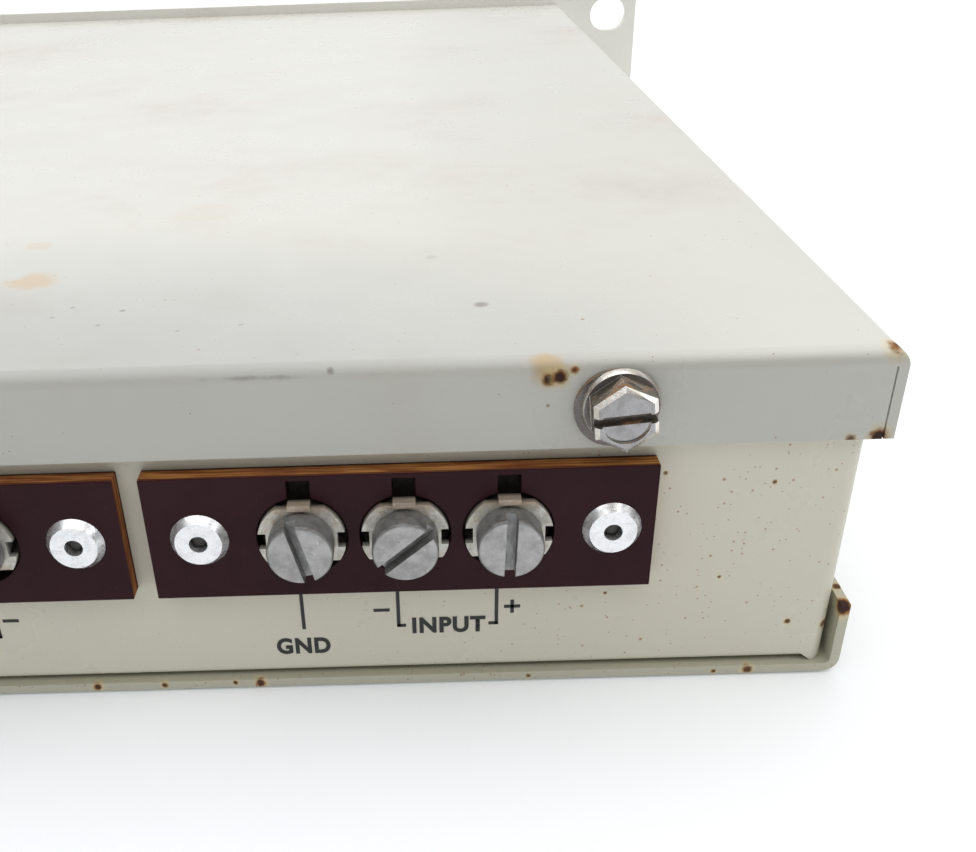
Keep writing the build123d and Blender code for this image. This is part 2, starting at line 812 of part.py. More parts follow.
def pan_screws(plane, spots):
    """M3 cross-head pan screws seated on a plane."""
    with BuildPart() as screws:
        with BuildSketch(plane):
            with Locations(spots):
                Circle(m3_head_radius)
        extrude(amount=m3_head_height, taper=m3_head_taper)
        with BuildSketch(plane.offset(m3_head_height)):
            with Locations(spots):
                Rectangle(m3_cross_length, m3_cross_width)
                Rectangle(m3_cross_width, m3_cross_length)
        extrude(amount=-m3_cross_depth, mode=Mode.SUBTRACT)
        with BuildSketch(plane):
            with Locations(spots):
                Circle(m3_radius)
        extrude(amount=-m3_length)
    return screws.part


with BuildPart() as inlet_screws:
    add(pan_screws(rear_plane(rear_face + inlet_flange_thickness), inlet_screw_spots))
keep(inlet_screws, "inlet_screws")

with BuildPart() as panel_screws:
    add(pan_screws(front_plane(panel_front), panel_screw_spots))
keep(panel_screws, "panel_screws")

with BuildPart() as machine_nuts:
    with BuildSketch(rear_plane(rear_face - wall_sheet)):
        with Locations(inlet_screw_spots):
            RegularPolygon(hexagon(m3_nut_flats), 6)
            Circle(m3_radius, mode=Mode.SUBTRACT)
    extrude(amount=-m3_nut_height)
    with BuildSketch(front_plane(subpanel_back)):
        with Locations(panel_screw_spots):
            RegularPolygon(hexagon(m3_nut_flats), 6)
            Circle(m3_radius, mode=Mode.SUBTRACT)
    extrude(amount=-m3_nut_height)
keep(machine_nuts, "machine_nuts")

# Fuse holder with its cap, fuse and nut
with BuildPart() as fuse_holder:
    with BuildSketch(rear_plane(rear_face)):
        with Locations(fuse_spot):
            Circle(fuse_flange_radius)
    extrude(amount=fuse_flange_height)
    with BuildSketch(rear_plane(rear_face)):
        with Locations(fuse_spot):
            Circle(fuse_barrel_radius)
    extrude(amount=-fuse_barrel_length)
    with BuildSketch(rear_plane(rear_face + fuse_flange_height)):
        with Locations(fuse_spot):
            Circle(fuse_bore)
    extrude(amount=-fuse_flange_height - fuse_plug_length - fuse_length, mode=Mode.SUBTRACT)
keep(fuse_holder, "fuse_holder")

cap_back = rear_face + fuse_flange_height + float_gap
with BuildPart() as fuse_cap:
    with BuildSketch(rear_plane(cap_back)):
        with Locations(fuse_spot):
            Circle(fuse_cap_radius)
            with PolarLocations(fuse_cap_radius, fuse_cap_flutes):
                Circle(fuse_cap_flute_radius, mode=Mode.SUBTRACT)
    extrude(amount=fuse_cap_height)
    chamfer(fuse_cap.faces().sort_by(Axis.Y)[-1].edges(), fuse_cap_bevel)
    with BuildSketch(rear_plane(cap_back + fuse_cap_height)):
        with Locations(fuse_spot):
            Rectangle(fuse_slot_length, fuse_slot_width)
    extrude(amount=-fuse_slot_depth, mode=Mode.SUBTRACT)
    with BuildSketch(rear_plane(cap_back)):
        with Locations(fuse_spot):
            Circle(fuse_plug_radius)
    extrude(amount=-fuse_plug_length)
keep(fuse_cap, "fuse_cap")

with BuildPart() as fuse:
    with BuildSketch(rear_plane(cap_back - fuse_plug_length - float_gap)):
        with Locations(fuse_spot):
            Circle(fuse_radius)
    extrude(amount=-fuse_length)
keep(fuse, "fuse")

with BuildPart() as fuse_nut:
    with BuildSketch(rear_plane(rear_face - wall_sheet)):
        with Locations(fuse_spot):
            RegularPolygon(fuse_nut_radius, 6)
            Circle(fuse_barrel_radius, mode=Mode.SUBTRACT)
    extrude(amount=-fuse_nut_height)
keep(fuse_nut, "fuse_nut")

# Potentiometers behind the inner wall, their threaded bushings through both walls
with BuildPart() as potentiometers:
    with BuildSketch(front_plane(subpanel_back)):
        with Locations(knob_spots):
            Circle(pot_radius)
    extrude(amount=-pot_depth)
    with BuildSketch(front_plane(subpanel_back)):
        with Locations(knob_spots):
            Circle(bushing_radius)
    extrude(amount=wall_sheet + panel_thickness + bushing_nose)
    with BuildSketch(front_plane(panel_front - bushing_nose)):
        with Locations(knob_spots):
            Circle(shaft_radius + shaft_clearance)
    extrude(amount=-bushing_nose - panel_thickness - wall_sheet - pot_depth + pot_floor, mode=Mode.SUBTRACT)
keep(potentiometers, "potentiometers")

with BuildPart() as pot_nuts:
    with BuildSketch(front_plane(panel_front)):
        with Locations(knob_spots):
            RegularPolygon(hexagon(pot_nut_flats), 6)
            Circle(bushing_radius, mode=Mode.SUBTRACT)
    extrude(amount=pot_nut_height)
keep(pot_nuts, "pot_nuts")

knob_back = panel_front - knob_gap
knob_front = knob_back - knob_length
shaft_back = subpanel_back + pot_depth - pot_floor - 2 * float_gap
shaft_front = knob_back - shaft_in_knob


def knob(spot):
    """A fluted knob, hollow behind, bored for its shaft and recessed for its cap."""
    with BuildPart() as body:
        with BuildSketch(front_plane(knob_back)):
            with Locations(spot):
                Circle(knob_radius)
                with PolarLocations(knob_radius, knob_flutes):
                    Circle(knob_flute_radius, mode=Mode.SUBTRACT)
        extrude(amount=knob_length, taper=knob_taper)
        chamfer(body.faces().sort_by(Axis.Y)[0].edges(), knob_bevel)
        with BuildSketch(front_plane(knob_back)):
            with Locations(spot):
                Circle(hexagon(pot_nut_flats) + knob_recess_clearance)
        extrude(amount=pot_face_gap, mode=Mode.SUBTRACT)
        with BuildSketch(front_plane(knob_back)):
            with Locations(spot):
                Circle(shaft_radius)
        extrude(amount=shaft_in_knob, mode=Mode.SUBTRACT)
        with BuildSketch(front_plane(knob_front)):
            with Locations(spot):
                Circle(knob_cap_radius)
        extrude(amount=-knob_cap_sheet, mode=Mode.SUBTRACT)
    return body


def knob_cap(spot):
    """A thin disc set flush in the knob's front."""
    with BuildPart() as cap:
        with BuildSketch(front_plane(knob_front + knob_cap_sheet)):
            with Locations(spot):
                Circle(knob_cap_radius)
        extrude(amount=knob_cap_sheet)
    return cap


def pot_shaft(spot):
    """A potentiometer's shaft, from the bottom of its bore to inside the knob."""
    with BuildPart() as shaft:
        with BuildSketch(front_plane(shaft_back)):
            with Locations(spot):
                Circle(shaft_radius)
        extrude(amount=shaft_back - shaft_front)
    return shaft


for name, spot in zip(knob_names, knob_spots):
    keep(knob(spot), f"{name}_knob")
    keep(knob_cap(spot), f"{name}_knob_cap")
    keep(pot_shaft(spot), f"{name}_shaft")

# Bypass push button and the switch behind it
switch_front = subpanel_back + switch_gap
with BuildPart() as bypass_button:
    with BuildSketch(front_plane(subpanel_back)):
        with Locations(button_spot):
            Rectangle(button_width, button_height)
    extrude(amount=wall_sheet + panel_thickness + button_proud)
    fillet(bypass_button.faces().sort_by(Axis.Y)[0].edges(), button_round)
    with BuildSketch(front_plane(subpanel_back)):
        with Locations(button_spot):
            Circle(stem_radius)
    extrude(amount=-switch_gap - button_travel - stem_reach)
keep(bypass_button, "bypass_button")

with BuildPart() as bypass_switch:
    with BuildSketch(front_plane(switch_front + button_travel)):
        with Locations(button_spot):
            Rectangle(switch_width, switch_height)
    extrude(amount=-switch_depth)
    with BuildSketch(front_plane(switch_front + button_travel)):
        with Locations(button_spot):
            Circle(stem_radius + switch_bore_clearance)
    extrude(amount=-stem_reach - button_travel - switch_bore_floor, mode=Mode.SUBTRACT)
    with BuildSketch(front_plane(subpanel_back)):
        with Locations(button_spot):
            with GridLocations(switch_width - 2 * switch_leg_inset - switch_leg, 0, 2, 1):
                Rectangle(switch_leg, switch_height)
    extrude(amount=-switch_gap - button_travel)
keep(bypass_switch, "bypass_switch")

# Power rocker on its two pivot pins, and the housing that holds them
rocker_pivot_y = panel_front + rocker_pivot_depth
rocker_pin_reach = housing_half_width + housing_wall
with BuildPart() as rocker_housing:
    with BuildSketch(front_plane(panel_front)):
        with Locations(rocker_spot):
            RectangleRounded(
                2 * (housing_half_width + housing_wall + housing_bezel),
                2 * (housing_half_height + housing_wall + housing_bezel),
                housing_corner,
            )
    extrude(amount=housing_bezel_height)
    with BuildSketch(front_plane(panel_front)):
        with Locations(rocker_spot):
            Rectangle(2 * (housing_half_width + housing_wall), 2 * (housing_half_height + housing_wall))
    extrude(amount=-housing_depth)
    with BuildSketch(front_plane(panel_front - housing_bezel_height)):
        with Locations(rocker_spot):
            Rectangle(2 * housing_half_width, 2 * housing_half_height)
    extrude(amount=-housing_depth - housing_bezel_height + housing_floor, mode=Mode.SUBTRACT)
    with BuildSketch(side_plane(rocker_row - rocker_pin_reach)):
        with Locations((rocker_pivot_y, control_height)):
            Circle(rocker_pin_radius + hole_clearance)
    extrude(amount=2 * rocker_pin_reach, mode=Mode.SUBTRACT)
keep(rocker_housing, "rocker_housing")

rocker_plane = Plane(
    origin=(rocker_row - rocker_width / 2, rocker_pivot_y, control_height),
    x_dir=(0, -cos(radians(rocker_tilt)), -sin(radians(rocker_tilt))),
    z_dir=(1, 0, 0),
)
with BuildPart() as power_rocker:
    with BuildSketch(rocker_plane):
        with BuildLine():
            Polyline(
                (rocker_edge, rocker_half_height),
                (rocker_middle, 0),
                (rocker_edge, -rocker_half_height),
                (-rocker_root, -rocker_shoulder * rocker_half_height),
                (-rocker_root - rocker_keel, 0),
                (-rocker_root, rocker_shoulder * rocker_half_height),
                close=True,
            )
        make_face()
    extrude(amount=rocker_width)
    with BuildSketch(side_plane(rocker_row - rocker_pin_reach)):
        with Locations((rocker_pivot_y, control_height)):
            Circle(rocker_pin_radius)
    extrude(amount=2 * rocker_pin_reach)
keep(power_rocker, "power_rocker")

# Indicator lamps in their bezels
with BuildPart() as led_bezels:
    with BuildSketch(front_plane(panel_front)):
        with Locations(led_spots):
            Circle(bezel_radius)
            Circle(led_radius, mode=Mode.SUBTRACT)
    extrude(amount=bezel_height, taper=bezel_taper)
keep(led_bezels, "led_bezels")

with BuildPart() as led_lenses:
    with BuildSketch(front_plane(subpanel_back)):
        with Locations(led_spots):
            Circle(led_radius)
    extrude(amount=wall_sheet + panel_thickness + bezel_height)
    for spot in led_spots:
        with Locations((spot[0], panel_front - bezel_height, spot[1])):
            Sphere(led_radius)
keep(led_lenses, "led_lenses")

# Circuit board on standoffs
with BuildPart() as circuit_board:
    with BuildSketch(Plane.XY.offset(board_top - board_sheet)):
        with Locations((board_x, board_y)):
            Rectangle(board_width, board_depth)
        with Locations(standoff_spots):
            Circle(m3_radius + hole_clearance, mode=Mode.SUBTRACT)
    extrude(amount=board_sheet)
keep(circuit_board, "circuit_board")

with BuildPart() as standoffs:
    with BuildSketch(Plane.XY.offset(cover_sheet)):
        with Locations(standoff_spots):
            RegularPolygon(hexagon(standoff_flats), 6)
            Circle(m3_radius, mode=Mode.SUBTRACT)
    extrude(amount=standoff_height)
keep(standoffs, "standoffs")

with BuildPart() as board_screws:
    with BuildSketch(Plane.XY.offset(board_top)):
        with Locations(standoff_spots):
            Circle(m3_head_radius)
    extrude(amount=m3_head_height, taper=m3_head_taper)
    with BuildSketch(Plane.XY.offset(board_top)):
        with Locations(standoff_spots):
            Circle(m3_radius)
    extrude(amount=-board_top + cone_height)
    for spot in standoff_spots:
        with Locations((spot[0], spot[1], cone_height / 2)):
            Cone(m3_head_radius, m3_radius, cone_height)
keep(board_screws, "board_screws")

with BuildPart() as filter_capacitors:
    with BuildSketch(Plane.XY.offset(board_top)):
        with Locations((capacitor_x, board_y)):
            with GridLocations(0, capacitor_spacing, 1, 3):
                Circle(capacitor_radius)
    extrude(amount=capacitor_height)
    fillet(filter_capacitors.faces().group_by(Axis.Z)[-1].edges(), capacitor_round)
keep(filter_capacitors, "filter_capacitors")

with BuildPart() as ic_chips:
    with BuildSketch(Plane.XY.offset(board_top)):
        with Locations((chip_middle, board_y)):
            with GridLocations(chip_spacing_x, chip_spacing_y, 5, 3):
                Rectangle(chip_length, chip_width)
    extrude(amount=chip_height)
keep(ic_chips, "ic_chips")

resistor_spots = [
    (board_y + (i - (resistor_count - 1) / 2) * resistor_spacing, board_top + resistor_radius)
    for i in range(resistor_count)
]
with BuildPart() as resistors:
    for start in (-resistor_column, resistor_column - resistor_length):
        with BuildSketch(Plane.YZ.offset(chip_middle + start)):
            with Locations(resistor_spots):
                Circle(resistor_radius)
        extrude(amount=resistor_length)
keep(resistors, "resistors")

# Transformer: a laminated core with two windows, the winding on its middle leg, and four bolts
core_bottom = cover_sheet + core_lift
core_middle = core_bottom + core_stack / 2
window_depth = core_depth - 2 * core_leg
window_width = (core_width - 4 * core_leg) / 2
with BuildPart() as transformer_core:
    with BuildSketch(Plane.XY.offset(core_bottom)):
        with Locations((core_x, core_y)):
            Rectangle(core_width, core_depth)
            with Locations((-core_leg - window_width / 2, 0), (core_leg + window_width / 2, 0)):
                Rectangle(window_width, window_depth, mode=Mode.SUBTRACT)
        with Locations(core_bolt_spots):
            Circle(core_bolt_radius + hole_clearance, mode=Mode.SUBTRACT)
    extrude(amount=core_stack)
keep(transformer_core, "transformer_core")

with BuildPart() as transformer_winding:
    with BuildSketch(Plane.XY.offset(core_bottom - winding_swell)):
        with Locations((core_x, core_y)):
            Rectangle(2 * (core_leg + window_width - winding_gap), window_depth - 2 * winding_gap)
    extrude(amount=core_stack + 2 * winding_swell)
    fillet(transformer_winding.edges().filter_by(Axis.Y), winding_round)
    with BuildSketch(Plane.XY.offset(core_bottom)):
        with Locations((core_x, core_y)):
            Rectangle(2 * core_leg, window_depth)
    extrude(amount=core_stack, mode=Mode.SUBTRACT)
keep(transformer_winding, "transformer_winding")

with BuildPart() as transformer_bolts:
    with BuildSketch(Plane.XY.offset(cone_height)):
        with Locations(core_bolt_spots):
            Circle(core_bolt_radius)
    extrude(amount=core_bottom + core_stack + core_nut_height + core_bolt_end - cone_height)
    for spot in core_bolt_spots:
        with Locations((spot[0], spot[1], cone_height / 2)):
            Cone(cone_radius, core_bolt_radius, cone_height)
    with BuildSketch(Plane.XY.offset(cover_sheet)):
        with Locations(core_bolt_spots):
            Circle(core_bolt_radius + spacer_wall)
    extrude(amount=core_lift)
    with BuildSketch(Plane.XY.offset(core_bottom + core_stack)):
        with Locations(core_bolt_spots):
            RegularPolygon(hexagon(core_nut_flats), 6)
    extrude(amount=core_nut_height)
keep(transformer_bolts, "transformer_bolts")
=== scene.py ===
import bpy
import bmesh
import json
from math import cos, pi, radians, sin
from mathutils import Matrix, Vector


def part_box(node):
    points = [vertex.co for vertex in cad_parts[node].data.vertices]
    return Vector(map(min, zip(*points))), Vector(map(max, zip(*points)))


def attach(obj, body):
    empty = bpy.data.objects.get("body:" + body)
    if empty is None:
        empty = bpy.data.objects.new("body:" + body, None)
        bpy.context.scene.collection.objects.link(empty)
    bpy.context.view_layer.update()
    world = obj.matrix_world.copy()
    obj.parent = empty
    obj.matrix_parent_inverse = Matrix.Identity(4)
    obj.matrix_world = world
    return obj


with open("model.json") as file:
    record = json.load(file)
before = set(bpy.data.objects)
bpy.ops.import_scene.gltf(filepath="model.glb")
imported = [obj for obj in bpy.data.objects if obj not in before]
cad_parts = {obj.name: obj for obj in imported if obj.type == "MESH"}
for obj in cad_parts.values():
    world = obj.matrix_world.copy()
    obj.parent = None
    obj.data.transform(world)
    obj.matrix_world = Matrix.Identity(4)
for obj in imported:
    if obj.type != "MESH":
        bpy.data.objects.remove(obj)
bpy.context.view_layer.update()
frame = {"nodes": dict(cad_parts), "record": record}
nodes = frame["nodes"]

MM = 0.001
case_lo, case_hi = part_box("chassis_wrap")
lid_lo, lid_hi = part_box("lid")
panel_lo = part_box("front_panel")[0]
rear = case_hi.y
side = case_lo.x


def from_side(distance):
    """X of a point this many millimetres in from the case's -X side."""
    return side + distance * MM


# ---------------------------------------------------------------- materials
class Shader:
    """A small helper to write a material's nodes in a few lines."""

    def __init__(self, name, roughness=0.5, metallic=0.0, specular=0.5):
        self.mat = bpy.data.materials.new(name)
        self.mat.use_nodes = True
        self.tree = self.mat.node_tree
        self.tree.nodes.clear()
        self.out = self.tree.nodes.new("ShaderNodeOutputMaterial")
        self.bsdf = self.tree.nodes.new("ShaderNodeBsdfPrincipled")
        self.tree.links.new(self.bsdf.outputs["BSDF"], self.out.inputs["Surface"])
        self.bsdf.inputs["Roughness"].default_value = roughness
        self.bsdf.inputs["Metallic"].default_value = metallic
        self.bsdf.inputs["Specular IOR Level"].default_value = specular
        coord = self.tree.nodes.new("ShaderNodeTexCoord")
        self.place = coord.outputs["Object"]
        self.geometry = self.tree.nodes.new("ShaderNodeNewGeometry")
        self.height = None

    def node(self, kind, **settings):
        n = self.tree.nodes.new(kind)
        for key, value in settings.items():
            setattr(n, key, value)
        return n

    def feed(self, socket, value):
        if hasattr(value, "is_output"):
            self.tree.links.new(value, socket)
        else:
            socket.default_value = value

    def scaled(self, factor):
        """The place stretched along each axis, for streaks and brushed grain."""
        n = self.node("ShaderNodeVectorMath", operation="MULTIPLY")
        self.feed(n.inputs[0], self.place)
        n.inputs[1].default_value = factor
        return n.outputs[0]

    def noise(self, scale, detail=3.0, rough=0.55, where=None, distortion=0.0):
        n = self.node("ShaderNodeTexNoise")
        self.feed(n.inputs["Vector"], where or self.place)
        n.inputs["Scale"].default_value = scale
        n.inputs["Detail"].default_value = detail
        n.inputs["Roughness"].default_value = rough
        n.inputs["Distortion"].default_value = distortion
        return n.outputs["Fac"]

    def cells(self, scale, where=None, feature="F1"):
        n = self.node("ShaderNodeTexVoronoi", feature=feature)
        self.feed(n.inputs["Vector"], where or self.place)
        n.inputs["Scale"].default_value = scale
        return n

    def ramp(self, value, low, high, a=0.0, b=1.0):
        n = self.node("ShaderNodeMapRange", interpolation_type="SMOOTHSTEP")
        self.feed(n.inputs["Value"], value)
        n.inputs["From Min"].default_value = low
        n.inputs["From Max"].default_value = high
        n.inputs["To Min"].default_value = a
        n.inputs["To Max"].default_value = b
        return n.outputs["Result"]

    def maths(self, operation, a, b=0.0):
        n = self.node("ShaderNodeMath", operation=operation)
        self.feed(n.inputs[0], a)
        self.feed(n.inputs[1], b)
        return n.outputs[0]

    def times(self, a, b):
        return self.maths("MULTIPLY", a, b)

    def most(self, a, b):
        return self.maths("MAXIMUM", a, b)

    def mix(self, factor, a, b):
        n = self.node("ShaderNodeMix", data_type="RGBA")
        self.feed(n.inputs["Factor"], factor)
        self.feed(n.inputs[6], (*a, 1.0) if isinstance(a, tuple) else a)
        self.feed(n.inputs[7], (*b, 1.0) if isinstance(b, tuple) else b)
        return n.outputs[2]

    def axis(self, name):
        n = self.node("ShaderNodeSeparateXYZ")
        self.feed(n.inputs[0], self.place)
        return n.outputs[name]

    def facing(self, name):
        """How far the surface faces along an axis, either way."""
        n = self.node("ShaderNodeSeparateXYZ")
        self.feed(n.inputs[0], self.geometry.outputs["True Normal"])
        return self.maths("ABSOLUTE", n.outputs[name])

    def near(self, centre, radius, ragged=0.5, scale=900.0, soft=0.35, shape=(1.0, 1.0, 1.0)):
        """A mask round a point, with a ragged edge: radius in metres, shape squeezes it along each axis."""
        away = self.node("ShaderNodeVectorMath", operation="SUBTRACT")
        self.feed(away.inputs[0], self.place)
        away.inputs[1].default_value = centre
        squeezed = self.node("ShaderNodeVectorMath", operation="MULTIPLY")
        self.feed(squeezed.inputs[0], away.outputs[0])
        squeezed.inputs[1].default_value = shape
        d = self.node("ShaderNodeVectorMath", operation="LENGTH")
        self.feed(d.inputs[0], squeezed.outputs[0])
        wobble = self.maths("MULTIPLY_ADD", self.noise(scale, 4.0, 0.7), 2.0 * ragged * radius)
        wobble.node.inputs[2].default_value = -ragged * radius
        spread = self.maths("ADD", d.outputs["Value"], wobble)
        return self.ramp(spread, radius * (1 + soft), radius * (1 - soft))

    def band(self, name, centre, half, soft):
        """A mask over a stretch of one axis."""
        away = self.maths("ABSOLUTE", self.maths("SUBTRACT", self.axis(name), centre))
        return self.ramp(away, half + soft, half)

    def raise_by(self, value, depth):
        n = self.node("ShaderNodeBump")
        n.inputs["Strength"].default_value = 1.0
        n.inputs["Distance"].default_value = depth
        self.feed(n.inputs["Height"], value)
        if self.height is not None:
            self.tree.links.new(self.height, n.inputs["Normal"])
        self.height = n.outputs["Normal"]

    def finish(self, colour, roughness=None, metallic=None):
        self.feed(self.bsdf.inputs["Base Color"], colour)
        if roughness is not None:
            self.feed(self.bsdf.inputs["Roughness"], roughness)
        if metallic is not None:
            self.feed(self.bsdf.inputs["Metallic"], metallic)
        if self.height is not None:
            self.tree.links.new(self.height, self.bsdf.inputs["Normal"])
        return self.mat


RUST_DARK = (0.045, 0.016, 0.010)
RUST_BROWN = (0.235, 0.075, 0.020)
RUST_ORANGE = (0.560, 0.215, 0.035)
RUST_HALO = (0.780, 0.600, 0.260)


def cream_paint(name, base, spots=(), stains=(), speck=0.0, mottling=0.0, smudge=(), tint_and_shade=None, speck_from=None,
                painted_shade=None):
    """Old cream enamel: faint mottling, pin-prick rust, and ragged rust spots at given places, with optional painted
    shade on upward faces and on faces turned along Y.
    """
    s = Shader(name, roughness=0.42, specular=0.5)
    aged = tuple(c * f for c, f in zip(base, (0.955, 0.95, 0.935)))
    colour = s.mix(s.ramp(s.noise(9.0, 4.0, 0.6), 0.35, 0.72), base, aged)
    if mottling:
        patch = s.ramp(s.noise(22.0, 6.0, 0.68), 0.5, 0.74)
        colour = s.mix(s.times(patch, mottling), colour, (0.560, 0.470, 0.400))
        patch = s.ramp(s.noise(70.0, 4.0, 0.6), 0.5, 0.85)
        colour = s.mix(s.times(patch, mottling * 0.4), colour, (0.66, 0.55, 0.45))
    # A soft, ragged patch on the upward faces is multiplied darker here: painted shade.
    if painted_shade:
        centre, radius, shade, shape = painted_shade
        shaded_area = s.times(s.near(centre, radius, 0.2, 24.0, 0.6, shape), s.ramp(s.facing("Z"), 0.3, 0.9))
        shade_multiply = s.node("ShaderNodeMix", data_type="RGBA", blend_type="MULTIPLY")
        s.feed(shade_multiply.inputs["Factor"], shaded_area)
        s.feed(shade_multiply.inputs[6], colour)
        shade_multiply.inputs[7].default_value = (*shade, 1.0)
        colour = shade_multiply.outputs[2]
    for centre, radius, strength in stains:
        colour = s.mix(s.times(s.near(centre, radius, 0.7, 300.0), strength), colour, (0.62, 0.46, 0.27))
    for centre, radius, strength, shape in smudge:
        mark = s.near(centre, radius, 0.55, 700.0, 0.4, shape)
        colour = s.mix(s.times(mark, strength), colour, (0.24, 0.21, 0.20))
    rust = None
    if speck:
        for scale, size, amount in ((420.0, 0.075, 1.0), (900.0, 0.11, 0.9), (1500.0, 0.13, 0.8)):
            grid = s.cells(scale)
            chosen = s.node("ShaderNodeSeparateColor")
            s.feed(chosen.inputs[0], grid.outputs["Color"])
            picked = s.ramp(chosen.outputs[0], 1.0 - speck * amount, 1.0 - speck * amount + 0.004)
            patchy = s.ramp(s.noise(26.0, 3.0, 0.6), 0.36, 0.56)
            if speck_from:
                patchy = s.times(patchy, s.ramp(s.axis("X"), speck_from[1], speck_from[0], 0.25, 1.0))
            dot = s.ramp(grid.outputs["Distance"], size * 1.5, size * 0.6)
            mark = s.times(s.times(picked, dot), patchy)
            rust = mark if rust is None else s.most(rust, mark)
        colour = s.mix(s.times(rust, 0.85), colour, (0.34, 0.165, 0.075))
    worn = None
    for centre, radius, strength in spots:
        wide = s.near(centre, radius * 1.5, 0.65)
        mid = s.near(centre, radius, 0.6, 1300.0)
        core = s.near(centre, radius * 0.72, 0.5, 1900.0, 0.2)
        colour = s.mix(s.times(wide, 0.5 * strength), colour, RUST_HALO)
        colour = s.mix(s.times(mid, strength), colour, s.mix(s.noise(1500.0, 3.0, 0.7), RUST_DARK, RUST_ORANGE))
        colour = s.mix(s.times(core, strength), colour, RUST_DARK)
        worn = mid if worn is None else s.most(worn, mid)
    # Faces turned along Y within a stretch of Y are multiplied darker here: painted shade.
    if tint_and_shade:
        start, end, shade = tint_and_shade
        upright = s.times(s.ramp(s.axis("Y"), start, end), s.ramp(s.facing("Y"), 0.3, 0.95))
        shaded_face = s.node("ShaderNodeMix", data_type="RGBA", blend_type="MULTIPLY")
        s.feed(shaded_face.inputs["Factor"], upright)
        s.feed(shaded_face.inputs[6], colour)
        shaded_face.inputs[7].default_value = (*shade, 1.0)
        colour = shaded_face.outputs[2]
    s.raise_by(s.noise(420.0, 4.0, 0.6), 0.00003)
    s.raise_by(s.noise(2600.0, 2.0, 0.5), 0.000012)
    shine = s.ramp(s.noise(60.0, 4.0, 0.6), 0.3, 0.75, 0.26, 0.40)
    if worn is not None:
        s.raise_by(worn, 0.00012)
        shine = s.most(shine, s.times(worn, 0.92))
    return s.finish(colour, shine)


def metal(name, base, dark, roughness, grain=(1.0, 1.0, 1.0), scale=400.0, tint_and_shade=None, rust=0.0, metallic=1.0, dirt_and_shade=0.5,
          bump=0.00004, dirt_scale=900.0):
    """Worn metal: brushed grain, dull patches, and rust or dirt in the low spots."""
    s = Shader(name, roughness=roughness, metallic=metallic)
    along = s.scaled(grain)
    fine = s.noise(scale * 4, 5.0, 0.65, along)
    patch = s.ramp(s.noise(dirt_scale, 5.0, 0.7), 0.42, 0.68)
    colour = s.mix(s.times(patch, dirt_and_shade), base, dark)
    if tint_and_shade:
        colour = s.mix(s.times(s.ramp(s.noise(dirt_scale * 0.6, 4.0, 0.7), 0.5, 0.72), 0.7), colour, tint_and_shade)
    rough = s.ramp(fine, 0.25, 0.8, max(roughness - 0.12, 0.04), min(roughness + 0.2, 1.0))
    shiny = s.ramp(patch, 0.0, 1.0, metallic, metallic * 0.75)
    if rust:
        where = s.ramp(s.noise(dirt_scale * 0.7, 5.0, 0.72), 0.64 - rust * 0.2, 0.74 - rust * 0.2)
        colour = s.mix(where, colour, s.mix(s.noise(2200.0, 3.0, 0.7), RUST_DARK, RUST_BROWN))
        rough = s.most(rough, s.times(where, 0.9))
        shiny = s.times(shiny, s.ramp(where, 0.0, 1.0, 1.0, 0.1))
        s.raise_by(where, 0.00006)
    s.raise_by(fine, bump)
    return s.finish(colour, rough, shiny)


def moulded(name, base, lighter, roughness, scale=1500.0, bump=0.00003, specular=0.5):
    """Moulded plastic: a fine moulded texture, with dust in it and a slightly rubbed sheen."""
    s = Shader(name, roughness=roughness, specular=specular)
    dust = s.ramp(s.noise(130.0, 6.0, 0.7), 0.45, 0.75)
    colour = s.mix(s.times(dust, 0.45), base, lighter)
    grain = s.noise(scale, 4.0, 0.6)
    s.raise_by(grain, bump)
    return s.finish(colour, s.ramp(dust, 0.0, 1.0, roughness, min(roughness + 0.16, 1.0)))


